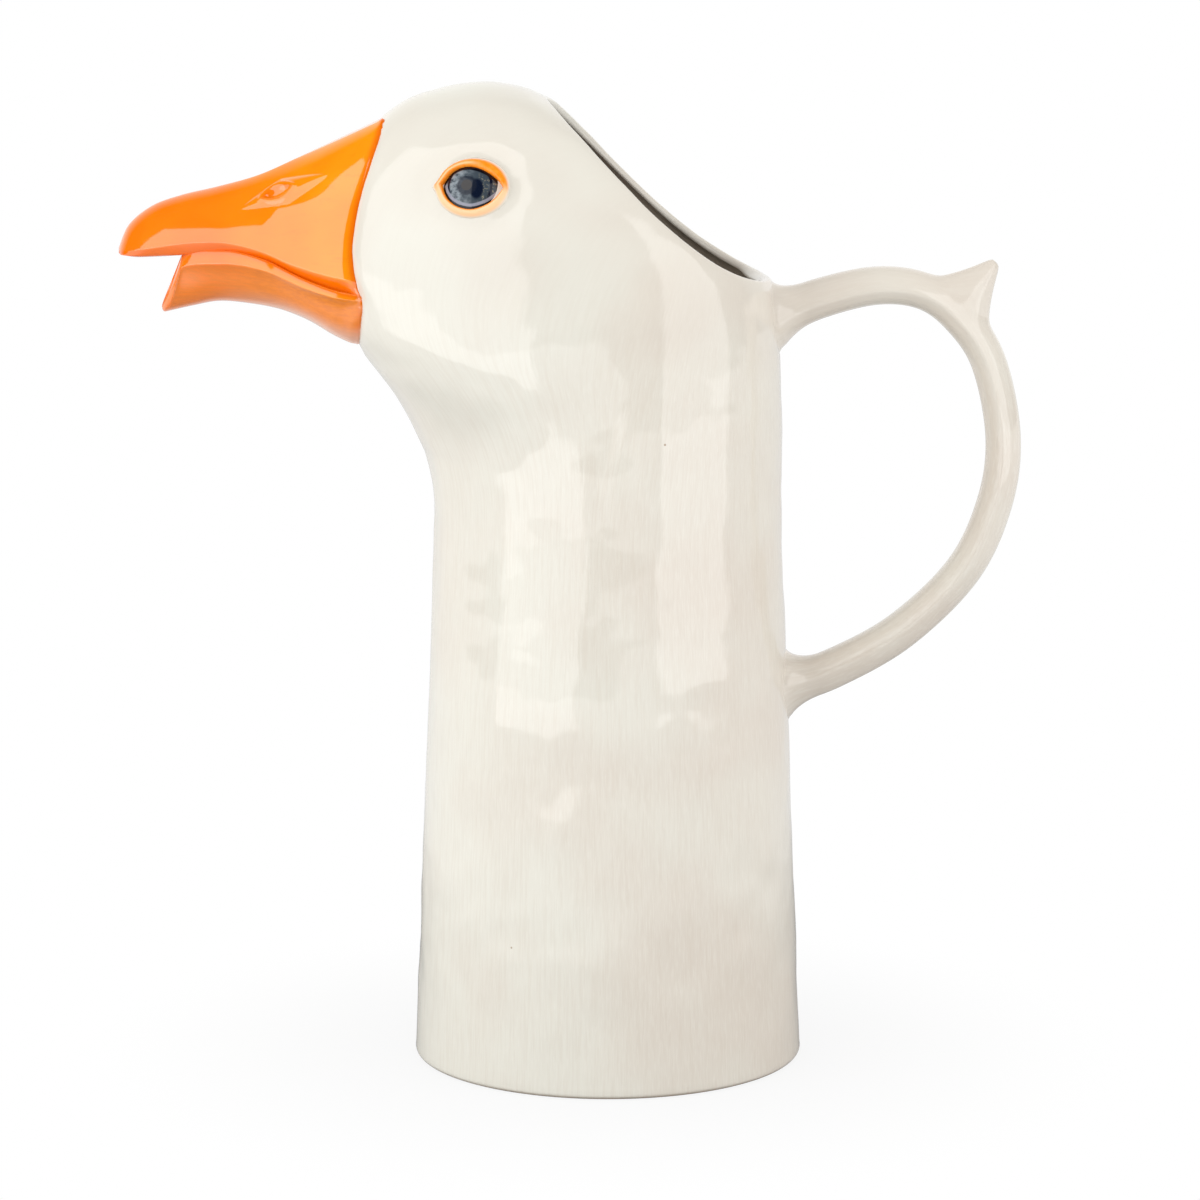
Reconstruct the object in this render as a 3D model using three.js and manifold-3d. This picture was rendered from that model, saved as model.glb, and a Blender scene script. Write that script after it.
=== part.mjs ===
// A goose-headed jug in glazed earthenware: a hollow neck and head that open behind the crown,
// a bill that is the spout, and a looped handle with a thumb spur. Its pieces are the clay
// elements that are formed one by one and luted together with slip before firing.
// Millimetres, +Z up, the bill towards -X, the origin at the centre of the foot.
import * as THREE from "three";
import { mergeVertices } from "three/addons/utils/BufferGeometryUtils.js";
import Module from "manifold-3d";

const wasm = await Module();
wasm.setup();
const { clamp, degToRad, lerp, smoothstep } = THREE.MathUtils;

// Neck, floor and joints
const BASE_RADIUS = 49;
const NECK_TOP_RADIUS = 43.3;
const NECK_HEIGHT = 140;
const WALL = 4;
const FLOOR = 5;
const SLIP_GAP = 0.3; // the thickness of slip in a luted joint

// Head. Its outline is [forward, up] from the front edge of the neck's top.
const FACE_LINE = [
  [0, 0], [0.8, 9], [3.7, 16.8], [9, 27], [17.5, 38.5], [27, 50], [31, 65],
  [27, 81], [18, 92.5], [8.3, 99.8], [-1, 103.6], [-11.4, 105.4], [-21, 104.6], [-28.5, 101.8],
];
const RIM_BACK_RISE = 57.4; // from the neck's top up to the low end of the mouth
const RIM_BACK_IN = 3.1; // from the neck's back edge in to the low end of the mouth
const RIM_HALF_WIDTH = 30;
const RIM_BACK_REACH = 33; // from the mouth's widest place to its low end
const RIM_SAG = 6; // how far the mouth's edge dips below a straight line, seen from the side
const SAG_SHIFT = 1.4; // above 1 the dip lies nearer the low end
const NAPE_EASE = 1.45; // above 1 the head climbs faster at first
const NAPE_TURN = 3; // above 1 the nape turns in late
const WIDTH_TURN = 1.6; // above 1 the head narrows late
const NOSE_FROM = 0.15; // shares of the way from the neck to the mouth's edge
const NOSE_TO = 0.77;
const NOSE_SQUARENESS = 1; // added to an oval's exponent where the face meets the bill
const NOSE_TAPER = 0.38; // the share of width that is lost towards the bill

// Bill. Its outlines are [forward, up] from the same point as the head's.
const CULMEN = [
  [12, 96.5], [23, 91.5], [33, 87], [43, 82.6], [53, 79.8], [62, 77.7], [69.5, 75], [75.3, 70.4], [78, 64.6],
];
const CUTTING_EDGE = [
  [16.5, 54.2], [23.8, 55.6], [32, 58.5], [40.2, 62.4], [49, 64.5],
  [58, 64.4], [66, 63.8], [73, 63.4], [77.6, 63.2],
];
const LOWER_RIM = [
  [16.5, 53.7], [23.8, 55.1], [32, 58], [40.2, 61.9], [47.5, 63.9], [53.5, 64.1], [58.4, 63.8], [61.3, 63],
];
const KEEL = [
  [18.6, 41.5], [24.5, 43.8], [31, 47], [39, 49.7], [47.5, 51.1], [53.5, 51.4], [59.5, 50.3], [66.6, 48.7],
];
const BILL_HALF_WIDTH = 20.5;
const BILL_NARROWING = 9; // lost from the half width between the face and the tip
const BILL_TIP_BLUNTNESS = 8;
const BILL_WALL = 3.2;
const LOWER_BILL_INSET = 1.2; // how far the lower half stands inside the cutting edge
const UPPER_ARCH = 1.8; // exponents of the two halves' sections
const UPPER_SHOULDER = 0.6;
const LOWER_ARCH = 2.4;
const FACE_BLEND = 0.35; // the share of the bill's length that takes on the face's section
const UPPER_HOLLOW_END = 0.78; // how far the hollow runs along the upper bill
const FEATHER_BOW = 4.1; // how far the feathers reach out over the bill's side
const FEATHER_SHIFT = 0.68; // below 1 they reach furthest in the lower half

// Eyes and nostrils
const EYE_FORWARD = -10;
const EYE_UP = 81.8;
const EYE_LENGTH = 14.3;
const EYE_HEIGHT = 10.4;
const EYE_BULGE = 2.8;
const EYEBALL_SPREAD = 1.35; // the eyeball's size against the opening's
const EYE_SLANT = 6; // degrees, down towards the back
const LID_WIDTH = 2.2;
const LID_RISE = 2.5;
const LID_SPREAD = 1.15; // the lid's mound against its outline
const NOSTRIL_ALONG = 0.31; // along the bill, from the face to the tip
const NOSTRIL_HEIGHT = 0.75; // up the bill's side, from the cutting edge to the culmen
const NOSTRIL_LENGTH = 20;
const NOSTRIL_WIDTH = 6.5;
const NOSTRIL_RISE = 1.8;
const NOSTRIL_HOLLOW = 0.4; // the hollow's size against the ridge's
const NOSTRIL_SLANT = -22; // degrees, up towards the back

// Handle
const UPPER_ROOT_RISE = 47.5; // from the neck's top to the middle of the upper root
const HANDLE_SPAN = 93; // between the middles of the two roots
const HANDLE_REACH = 55.6; // from the line between the roots to the far side of the strap's middle line
const STRAP_WIDTH = 13.5;
const STRAP_THICKNESS = 8.8;
const STRAP_ROOT_EXTRA = 1.8; // how much thicker the strap is at its roots
const STRAP_ROUTE = [ // [share of the reach, share of the span below the upper root]
  [0, 0], [0.192, -0.048], [0.447, -0.082], [0.657, -0.067], [0.812, 0.001], [0.941, 0.123],
  [1, 0.328], [0.953, 0.51], [0.805, 0.69], [0.517, 0.855], [0.204, 0.959], [-0.008, 1],
];
const RIDGE_EXPONENT = 1.6; // 2 is an oval section, 1 a diamond
const SPUR_LENGTH = 15.5; // from the strap's middle line to the tip
const SPUR_FOOT = 14; // half the length of the spur's foot along the strap
const SPUR_TIP = 1; // half the thickness of its tip
const SPUR_HOLLOW = 1.4; // above 1 its sides are hollow
const SPUR_ANGLE = 50; // degrees above the horizontal
const SPUR_PLACE = 0.35; // along the strap, from the upper root
const COIL_LENGTH = 8; // how far a luting coil runs along the strap
const COIL_WIDTH = 4; // how far it spreads on the wall
const COIL_EDGE = 0.6; // its thickness where it ends on the strap

// How finely curves are divided, and how far a cutting solid runs past what it cuts
const AROUND = 48;
const HEAD_RINGS = 17;
const BILL_SIDE_POINTS = 9;
const BILL_STATIONS = 12;
const ALMOND_SEGMENTS = 6;
const STRAP_SIDES = 12;
const STRAP_STATIONS = 28;
const SPUR_STATIONS = 6;
const COIL_STATIONS = 4;
const SLOPE_STEP = 0.01;
const SEAT_STEP = 0.5; // between the points that give the slope under an eye
const HALVINGS = 40;
const CUT_OVERRUN = 1;
const BILL_OVERRUN = 8;
const PELLET_DEPTH = 6;

const NECK_FRONT = new THREE.Vector3(-NECK_TOP_RADIUS, 0, NECK_HEIGHT);
const NECK_BACK = new THREE.Vector3(NECK_TOP_RADIUS, 0, NECK_HEIGHT);

// Solids

function solidOf(geometry) {
  const loose = geometry.index ? geometry.toNonIndexed() : geometry;
  const bare = new THREE.BufferGeometry().setAttribute("position", loose.getAttribute("position"));
  const merged = mergeVertices(bare, 1e-4);
  const vertProperties = merged.getAttribute("position").array;
  const triVerts = new Uint32Array(merged.index.array);
  return new wasm.Manifold(new wasm.Mesh({ numProp: 3, vertProperties, triVerts }));
}

function geometryOf(solid) {
  const { vertProperties, triVerts } = solid.getMesh();
  const geometry = new THREE.BufferGeometry();
  geometry.setAttribute("position", new THREE.Float32BufferAttribute(vertProperties, 3));
  geometry.setIndex([...triVerts]);
  geometry.computeVertexNormals();
  return geometry;
}

// A fan of faces that closes one end of a row of loops.
function capFaces(points, first, count, facesBack) {
  const loop = points.slice(first, first + count);
  const middle = loop.reduce((sum, p) => sum.add(p), new THREE.Vector3()).divideScalar(count);
  points.push(middle);
  return loop.map((_, j) => {
    const [a, b] = [first + j, first + ((j + 1) % count)];
    return facesBack ? [a, b, points.length - 1] : [b, a, points.length - 1];
  });
}

// A skin over a row of loops with equal numbers of points. A ring of loops closes on itself, and
// a plain row is capped at both ends.
function loft(loops, ring = false) {
  const count = loops[0].length;
  const points = loops.flat();
  const faces = [];
  const spans = ring ? loops.length : loops.length - 1;
  for (let i = 0; i < spans; i++) {
    const next = (i + 1) % loops.length;
    for (let j = 0; j < count; j++) {
      const k = (j + 1) % count;
      const [a, b, c, d] = [i * count + j, next * count + j, next * count + k, i * count + k];
      faces.push([a, b, c], [a, c, d]);
    }
  }
  if (!ring) {
    faces.push(...capFaces(points, 0, count, true));
    faces.push(...capFaces(points, (loops.length - 1) * count, count, false));
  }
  const volume = faces.reduce((sum, face) => {
    const [a, b, c] = face.map((n) => points[n]);
    return sum + a.dot(b.clone().cross(c));
  }, 0);
  const outward = volume > 0 ? faces : faces.map((face) => [...face].reverse());
  const geometry = new THREE.BufferGeometry().setFromPoints(points);
  geometry.setIndex(outward.flat());
  return solidOf(geometry);
}

// A slab between two planes square to Y, with an outline of [x, z] points.
function slabAcross(outline, halfWidth) {
  const shape = new THREE.Shape(outline.map(([x, z]) => new THREE.Vector2(x, z)));
  const slab = new THREE.ExtrudeGeometry(shape, { depth: 2 * halfWidth, bevelEnabled: false });
  slab.rotateX(Math.PI / 2).translate(0, halfWidth, 0);
  return solidOf(slab);
}

// A solid turned about Z from a profile of [radius, z] points.
function turned(profile) {
  const points = profile.map(([radius, z]) => new THREE.Vector2(radius, z));
  return solidOf(new THREE.LatheGeometry(points, AROUND).rotateX(Math.PI / 2));
}

// Curves

// The row of values at t, 0 to 1, on a smooth curve through evenly spaced rows.
function along(rows, t) {
  const last = rows.length - 1;
  const place = clamp(t, 0, 1) * last;
  const i = Math.min(Math.floor(place), last - 1);
  const f = place - i;
  const row = (k) => rows[clamp(k, 0, last)];
  return row(i).map((p1, c) => {
    const [p0, p2, p3] = [row(i - 1)[c], row(i + 1)[c], row(i + 2)[c]];
    const bend = 2 * p0 - 5 * p1 + 4 * p2 - p3;
    return p1 + 0.5 * f * (p2 - p0 + f * (bend + f * (3 * (p1 - p2) + p3 - p0)));
  });
}

function headPoint([forward, up]) {
  return new THREE.Vector3(NECK_FRONT.x - forward, 0, NECK_FRONT.z + up);
}

// Neck and floor

function wallRadius(z) {
  return lerp(BASE_RADIUS, NECK_TOP_RADIUS, z / NECK_HEIGHT);
}

function neckWall() {
  return turned([
    [BASE_RADIUS, 0], [NECK_TOP_RADIUS, NECK_HEIGHT],
    [NECK_TOP_RADIUS - WALL, NECK_HEIGHT], [BASE_RADIUS - WALL, 0], [BASE_RADIUS, 0],
  ]);
}

function baseFloor() {
  const inset = WALL + SLIP_GAP;
  return turned([[0, 0], [BASE_RADIUS - inset, 0], [wallRadius(FLOOR) - inset, FLOOR], [0, FLOOR]]);
}

// Head: rings that lie level at the neck's top and lean back towards the mouth's edge. Each has
// its front on the face line, its back on the nape and its widest place between them.

// The back of the ring at t, as [in from the neck's back edge, up from the neck's top].
function napePoint(t) {
  return [RIM_BACK_IN * t ** NAPE_TURN, RIM_BACK_RISE * t * (NAPE_EASE - (NAPE_EASE - 1) * t)];
}

function headRing(t) {
  const front = headPoint(along(FACE_LINE, t));
  const [inward, up] = napePoint(t);
  const back = NECK_BACK.clone().add(new THREE.Vector3(-inward, 0, up));
  const way = back.clone().sub(front).normalize();
  const backReach = lerp(NECK_TOP_RADIUS, RIM_BACK_REACH, t);
  const nose = Math.sin(Math.PI * clamp((t - NOSE_FROM) / (NOSE_TO - NOSE_FROM), 0, 1)) ** 2;
  return {
    way,
    backReach,
    frontReach: back.distanceTo(front) - backReach,
    middle: back.clone().addScaledVector(way, -backReach),
    halfWidth: lerp(NECK_TOP_RADIUS, RIM_HALF_WIDTH, t ** WIDTH_TURN),
    exponent: 2 + NOSE_SQUARENESS * nose,
    taper: NOSE_TAPER * nose,
    sag: RIM_SAG * t * t,
  };
}

// How far a ring dips at a run from its widest place.
function ringSag(ring, run) {
  const share = clamp((ring.frontReach + run) / (ring.frontReach + ring.backReach), 0, 1) ** SAG_SHIFT;
  return 4 * ring.sag * share * (1 - share);
}

// The ring's half width at a cosine: -1 at the front, 0 at the widest place, 1 at the back.
function ringHalfWidth(ring, cosine) {
  const exponent = cosine < 0 ? ring.exponent : 2;
  const taper = cosine < 0 ? 1 - ring.taper * cosine * cosine : 1;
  return ring.halfWidth * taper * Math.max(0, 1 - Math.abs(cosine) ** exponent) ** (1 / exponent);
}

function headSurface(t, angle) {
  const ring = headRing(t);
  const cosine = Math.cos(angle);
  const run = cosine * (cosine < 0 ? ring.frontReach : ring.backReach);
  const point = ring.middle.clone().addScaledVector(ring.way, run);
  point.z -= ringSag(ring, run);
  point.y = Math.sign(Math.sin(angle)) * ringHalfWidth(ring, cosine);
  return point;
}

// A ring of the head's skin, pushed out by some millimetres (or in, if negative).
function headLoop(t, out) {
  const loop = [];
  const from = clamp(t - SLOPE_STEP / 2, 0, 1 - SLOPE_STEP);
  for (let j = 0; j < AROUND; j++) {
    const angle = ((j + 0.5) / AROUND) * 2 * Math.PI;
    const up = headSurface(from + SLOPE_STEP, angle).sub(headSurface(from, angle));
    const side = headSurface(t, angle + SLOPE_STEP).sub(headSurface(t, angle - SLOPE_STEP));
    const point = headSurface(t, angle).addScaledVector(side.cross(up).normalize(), out);
    if (t === 0) point.z = NECK_HEIGHT + SLIP_GAP;
    loop.push(point);
  }
  return loop;
}

function headLoops(out) {
  return Array.from({ length: HEAD_RINGS + 1 }, (_, i) => headLoop(i / HEAD_RINGS, out));
}

// The half width of the head's skin at a place in the side view.
function headHalfWidth(x, z) {
  let [low, high] = [0, 1];
  const runAt = (ring) => (x - ring.middle.x) / ring.way.x;
  for (let i = 0; i < HALVINGS; i++) {
    const t = (low + high) / 2;
    const ring = headRing(t);
    const run = runAt(ring);
    if (ring.middle.z + ring.way.z * run - ringSag(ring, run) < z) low = t;
    else high = t;
  }
  const ring = headRing(low);
  const run = runAt(ring);
  return ringHalfWidth(ring, clamp(run / (run < 0 ? ring.frontReach : ring.backReach), -1, 1));
}

function headShell() {
  const loops = [...headLoops(0), ...headLoops(-WALL).reverse()];
  return loft(loops, true).subtract(billSpace(0));
}

// The outside of neck and head, filled in, with the slip that lies on it.
function bodyWithSlip() {
  const neck = turned([
    [0, 0], [BASE_RADIUS + SLIP_GAP, 0], [NECK_TOP_RADIUS + SLIP_GAP, NECK_HEIGHT], [0, NECK_HEIGHT],
  ]);
  return neck.add(loft(headLoops(SLIP_GAP)));
}

// Bill: two shells that meet at the cutting edge and open into the head. In the side view a
// station is a line from the open edge (share 0) to the culmen or the keel (share 1).

// How far the feathered edge bows forward, at a share of the upper bill's height.
function featherBow(share) {
  return FEATHER_BOW * Math.sin(Math.PI * share ** FEATHER_SHIFT);
}

// The bill runs on from the head without a step and has its own section further out.
function billHalfWidth(root, place, arch, inset) {
  const tip = Math.sqrt(1 - Math.min(place, 1 - SLOPE_STEP) ** BILL_TIP_BLUNTNESS);
  const own = ((BILL_HALF_WIDTH - BILL_NARROWING * place) * tip - inset) * arch;
  return lerp(headHalfWidth(root.x, root.z), own, smoothstep(place, 0, FACE_BLEND));
}

function upperBillLine(t, share) {
  const point = headPoint(along(CUTTING_EDGE, t)).lerp(headPoint(along(CULMEN, t)), share);
  point.x -= featherBow(share) * (1 - t) ** 2;
  return point;
}

function lowerBillLine(t, share) {
  return headPoint(along(LOWER_RIM, t)).lerp(headPoint(along(KEEL, t)), share);
}

function upperBillPoint(t, share) {
  const point = upperBillLine(t, share);
  const arch = (1 - share ** UPPER_ARCH) ** UPPER_SHOULDER;
  point.y = share < 1 ? billHalfWidth(upperBillLine(0, share), t, arch, 0) : 0;
  return point;
}

function lowerBillPoint(t, share) {
  const point = lowerBillLine(t, share);
  const place = t * (KEEL.at(-1)[0] / CULMEN.at(-1)[0]);
  const arch = Math.sqrt(1 - share ** LOWER_ARCH);
  point.y = share < 1 ? billHalfWidth(lowerBillLine(0, share), place, arch, LOWER_BILL_INSET) : 0;
  return point;
}

// The share of a section's height at a numbered point. The points crowd towards the middle line,
// where the section turns.
function billShare(i) {
  return Math.sin((i / BILL_SIDE_POINTS) * (Math.PI / 2));
}

// A closed section: along one side to the middle and back on the other. It can grow by some
// millimetres, or shrink if negative, and its open edge can be drawn past the outline.
function billLoop(billPoint, t, grow, overrun) {
  const edge = billPoint(t, 0);
  const towardsMiddle = Math.sign(billPoint(t, 1).z - edge.z);
  const side = [];
  for (let i = 0; i <= BILL_SIDE_POINTS; i++) {
    const share = billShare(i);
    const point = billPoint(t, share);
    point.y *= 1 + grow / edge.y;
    point.z += towardsMiddle * (i === 0 ? -overrun : grow * share);
    side.push(point);
  }
  const otherSide = side.slice(0, -1).reverse().map((p) => new THREE.Vector3(p.x, -p.y, p.z));
  return [...side, ...otherSide];
}

// The space inside one half's outline, from behind the face to a share of the half's length.
function billSolid(billPoint, grow, overrun, end, lipOverrun) {
  const moved = (loop, x) => loop.map((p) => p.clone().setX(p.x + x));
  const loops = [];
  for (let i = 0; i <= BILL_STATIONS; i++) {
    loops.push(billLoop(billPoint, (i / BILL_STATIONS) * end, grow, overrun));
  }
  loops.unshift(moved(loops[0], BILL_OVERRUN));
  if (lipOverrun > 0) loops.push(moved(loops.at(-1), -lipOverrun));
  return loft(loops);
}

// Everything in front of the line where the head's feathers end and the bill begins.
function billSpace(forward) {
  const outline = [];
  for (let i = 0; i <= BILL_SIDE_POINTS; i++) {
    const point = upperBillLine(0, billShare(i));
    outline.push([point.x - forward, point.z]);
  }
  const [top, chin] = [headPoint(CULMEN[0]), headPoint(KEEL[0])];
  const ahead = headPoint(CULMEN.at(-1)).x - BILL_OVERRUN;
  outline.push([top.x - forward - BILL_OVERRUN, top.z + BILL_OVERRUN], [ahead, top.z + BILL_OVERRUN]);
  outline.push([ahead, chin.z - BILL_OVERRUN], [chin.x - forward - BILL_OVERRUN, chin.z - BILL_OVERRUN]);
  outline.push([chin.x - forward, chin.z]);
  return slabAcross(outline, BASE_RADIUS);
}

function upperBill() {
  const outside = billSolid(upperBillPoint, 0, 0, 1, 0);
  const inside = billSolid(upperBillPoint, -BILL_WALL, CUT_OVERRUN, UPPER_HOLLOW_END, 0);
  return outside.subtract(inside).intersect(billSpace(SLIP_GAP));
}

function lowerBill() {
  const outside = billSolid(lowerBillPoint, 0, 0, 1, 0);
  const inside = billSolid(lowerBillPoint, -BILL_WALL, CUT_OVERRUN, 1, BILL_OVERRUN);
  return outside.subtract(inside).intersect(billSpace(SLIP_GAP));
}

// Applied relief: pellets with an almond outline on the head's and the bill's sides

// An almond outline of two arcs that meet at the corners.
function almond(length, height) {
  const radius = (length ** 2 + height ** 2) / (4 * height);
  const half = Math.asin(length / 2 / radius);
  const drop = radius - height / 2;
  const shape = new THREE.Shape();
  shape.absarc(0, -drop, radius, Math.PI / 2 - half, Math.PI / 2 + half, false);
  shape.absarc(0, drop, radius, 1.5 * Math.PI - half, 1.5 * Math.PI + half, false);
  return shape;
}

// Stands a geometry on a surface: its Z becomes the surface's normal, its X runs along the side.
function seated(geometry, seat) {
  const lengthways = new THREE.Vector3(Math.cos(seat.slant), 0, -Math.sin(seat.slant));
  const across = seat.normal.clone().cross(lengthways).normalize();
  const matrix = new THREE.Matrix4().makeBasis(across.clone().cross(seat.normal), across, seat.normal);
  return solidOf(geometry.applyMatrix4(matrix.setPosition(seat.point)));
}

function almondPrism(length, height, seat) {
  const options = { depth: 2 * PELLET_DEPTH, bevelEnabled: false, curveSegments: ALMOND_SEGMENTS };
  const prism = new THREE.ExtrudeGeometry(almond(length, height), options);
  return seated(prism.translate(0, 0, -PELLET_DEPTH), seat);
}

// A flattened ball that stands above the surface by its rise and has its middle as far below it.
function dome(length, height, rise, seat) {
  const ball = new THREE.SphereGeometry(1, 3 * ALMOND_SEGMENTS, 2 * ALMOND_SEGMENTS);
  ball.rotateX(Math.PI / 2).scale(length / 2, height / 2, 2 * rise).translate(0, 0, -rise);
  return seated(ball, seat);
}

function eyeSeat(side) {
  const point = headPoint([EYE_FORWARD, EYE_UP]);
  const width = headHalfWidth(point.x, point.z);
  const ahead = headHalfWidth(point.x - SEAT_STEP, point.z);
  const above = headHalfWidth(point.x, point.z + SEAT_STEP);
  const slopeX = (width - ahead) / SEAT_STEP;
  const slopeZ = (above - width) / SEAT_STEP;
  const normal = new THREE.Vector3(-slopeX, side, -slopeZ).normalize();
  return { point: point.setY(side * width), normal, slant: degToRad(EYE_SLANT) };
}

function eye(side, body) {
  const seat = eyeSeat(side);
  const ball = dome(EYEBALL_SPREAD * EYE_LENGTH, EYEBALL_SPREAD * EYE_HEIGHT, EYE_BULGE, seat);
  const opening = almondPrism(EYE_LENGTH - 2 * SLIP_GAP, EYE_HEIGHT - 2 * SLIP_GAP, seat);
  return ball.intersect(opening).subtract(body);
}

function eyelid(side, body) {
  const seat = eyeSeat(side);
  const [length, height] = [EYE_LENGTH + 2 * LID_WIDTH, EYE_HEIGHT + 2 * LID_WIDTH];
  const mound = dome(LID_SPREAD * length, LID_SPREAD * height, LID_RISE, seat);
  const outline = almondPrism(length, height, seat);
  const opening = almondPrism(EYE_LENGTH, EYE_HEIGHT, seat);
  return mound.intersect(outline).subtract(opening).subtract(body);
}

function nostrilSeat(side) {
  const point = upperBillPoint(NOSTRIL_ALONG, NOSTRIL_HEIGHT);
  const forward = upperBillPoint(NOSTRIL_ALONG + SLOPE_STEP, NOSTRIL_HEIGHT).sub(point);
  const up = upperBillPoint(NOSTRIL_ALONG, NOSTRIL_HEIGHT + SLOPE_STEP).sub(point);
  const normal = forward.cross(up).normalize();
  normal.multiplyScalar(Math.sign(normal.y));
  point.y *= side;
  normal.y *= side;
  return { point, normal, slant: degToRad(NOSTRIL_SLANT) };
}

function nostril(side) {
  const seat = nostrilSeat(side);
  const ridge = dome(NOSTRIL_LENGTH, NOSTRIL_WIDTH, NOSTRIL_RISE, seat);
  const outline = almondPrism(NOSTRIL_LENGTH, NOSTRIL_WIDTH, seat);
  const hollow = almondPrism(NOSTRIL_LENGTH * NOSTRIL_HOLLOW, NOSTRIL_WIDTH * NOSTRIL_HOLLOW, seat);
  const bill = billSolid(upperBillPoint, SLIP_GAP, 0, 1, 0);
  return ridge.intersect(outline).subtract(hollow).subtract(bill);
}

// Handle: a strap swept round a loop, a spur on its upper corner and a coil round each root

// The nape's distance from the jug's axis, at a height above the neck's top.
function napeRadius(up) {
  const late = NAPE_EASE - 1;
  const t = (NAPE_EASE - Math.sqrt(NAPE_EASE ** 2 - (4 * late * up) / RIM_BACK_RISE)) / (2 * late);
  return NECK_TOP_RADIUS - napePoint(t)[0];
}

function strapMiddle(t) {
  const [out, down] = along(STRAP_ROUTE, t);
  const upperRoot = napeRadius(UPPER_ROOT_RISE);
  const lowerRoot = wallRadius(NECK_HEIGHT + UPPER_ROOT_RISE - HANDLE_SPAN);
  const x = lerp(upperRoot, lowerRoot, down) + out * HANDLE_REACH;
  return new THREE.Vector3(x, 0, NECK_HEIGHT + UPPER_ROOT_RISE - down * HANDLE_SPAN);
}

// A section between an oval and a diamond, which leaves a soft ridge on each side.
function ridgedLoop(middle, outward, halfThickness, halfWidth) {
  const loop = [];
  for (let j = 0; j < STRAP_SIDES; j++) {
    const angle = (j / STRAP_SIDES) * 2 * Math.PI;
    const [c, s] = [Math.cos(angle), Math.sin(angle)];
    const size = (Math.abs(c) ** RIDGE_EXPONENT + Math.abs(s) ** RIDGE_EXPONENT) ** (-1 / RIDGE_EXPONENT);
    const point = middle.clone().addScaledVector(outward, c * size * halfThickness);
    point.y = s * size * halfWidth;
    loop.push(point);
  }
  return loop;
}

function strapLoop(t, grow) {
  const from = clamp(t - SLOPE_STEP / 2, 0, 1 - SLOPE_STEP);
  const way = strapMiddle(from + SLOPE_STEP).sub(strapMiddle(from)).normalize();
  const outward = new THREE.Vector3(-way.z, 0, way.x);
  const thickness = STRAP_THICKNESS + STRAP_ROOT_EXTRA * (2 * t - 1) ** 2;
  return ridgedLoop(strapMiddle(t), outward, thickness / 2 + grow, STRAP_WIDTH / 2 + grow);
}

// The strap with its ends drawn into the wall, for cutting.
function strapThroughWall(grow) {
  const loops = [];
  for (let i = 0; i <= STRAP_STATIONS; i++) loops.push(strapLoop(i / STRAP_STATIONS, grow));
  const inWall = (loop) => loop.map((p) => p.clone().setX(p.x - 2 * WALL));
  return loft([inWall(loops[0]), ...loops, inWall(loops.at(-1))]);
}

function handleStrap(body) {
  return strapThroughWall(0).subtract(body);
}

function thumbSpur() {
  const foot = strapMiddle(SPUR_PLACE);
  const lean = degToRad(SPUR_ANGLE);
  const way = new THREE.Vector3(Math.cos(lean), 0, Math.sin(lean));
  const outward = new THREE.Vector3(-way.z, 0, way.x);
  const loops = [];
  for (let i = 0; i <= SPUR_STATIONS; i++) {
    const t = i / SPUR_STATIONS;
    const slim = (1 - t) ** SPUR_HOLLOW;
    const halfWidth = lerp(SPUR_TIP, STRAP_WIDTH / 2 - SPUR_TIP, slim);
    const middle = foot.clone().addScaledVector(way, t * SPUR_LENGTH);
    loops.push(ridgedLoop(middle, outward, lerp(SPUR_TIP, SPUR_FOOT, slim), halfWidth));
  }
  return loft(loops).subtract(strapThroughWall(SLIP_GAP));
}

function strapLength() {
  const points = STRAP_ROUTE.map((_, i) => strapMiddle(i / (STRAP_ROUTE.length - 1)));
  return points.slice(1).reduce((sum, point, i) => sum + point.distanceTo(points[i]), 0);
}

// A flared coil round one root of the strap: the upper one at t 0 or the lower one at t 1.
function lutingCoil(root, body) {
  const loops = [];
  for (let i = 0; i <= COIL_STATIONS; i++) {
    const share = i / COIL_STATIONS;
    const t = (share * COIL_LENGTH) / strapLength();
    const grow = SLIP_GAP + lerp(COIL_EDGE, COIL_WIDTH, (1 - share) ** 2);
    loops.push(strapLoop(root === 0 ? t : 1 - t, grow));
  }
  loops.unshift(loops[0].map((p) => p.clone().setX(p.x - WALL)));
  return loft(loops).subtract(strapThroughWall(SLIP_GAP)).subtract(body);
}

// Assembly

const GLAZE = { color: 0xe9e5da, roughness: 0.22 };
const ORANGE = { color: 0xfa8f0f, roughness: 0.25 };
const PEACH = { color: 0xf5a04a, roughness: 0.3 };
const SLATE = { color: 0x3b4148, roughness: 0.12 };
const BISQUE = { color: 0xd9cdb8, roughness: 0.8 };

const jug = new THREE.Group();
jug.name = "goose_jug";

function place(name, solid, look) {
  const mesh = new THREE.Mesh(geometryOf(solid), new THREE.MeshStandardMaterial({ ...look, metalness: 0 }));
  mesh.name = name;
  jug.add(mesh);
}

const body = bodyWithSlip();
place("base_floor", baseFloor(), BISQUE);
place("neck_wall", neckWall(), GLAZE);
place("head_shell", headShell(), GLAZE);
place("upper_bill", upperBill(), ORANGE);
place("lower_bill", lowerBill(), ORANGE);
for (const [name, side] of [["left", -1], ["right", 1]]) {
  place(`${name}_eye`, eye(side, body), SLATE);
  place(`${name}_eyelid`, eyelid(side, body), PEACH);
  place(`${name}_nostril`, nostril(side), ORANGE);
}
place("handle_strap", handleStrap(body), GLAZE);
place("thumb_spur", thumbSpur(), GLAZE);
place("upper_luting_coil", lutingCoil(0, body), GLAZE);
place("lower_luting_coil", lutingCoil(1, body), GLAZE);

export default jug;
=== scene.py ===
import itertools
import math

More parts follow.
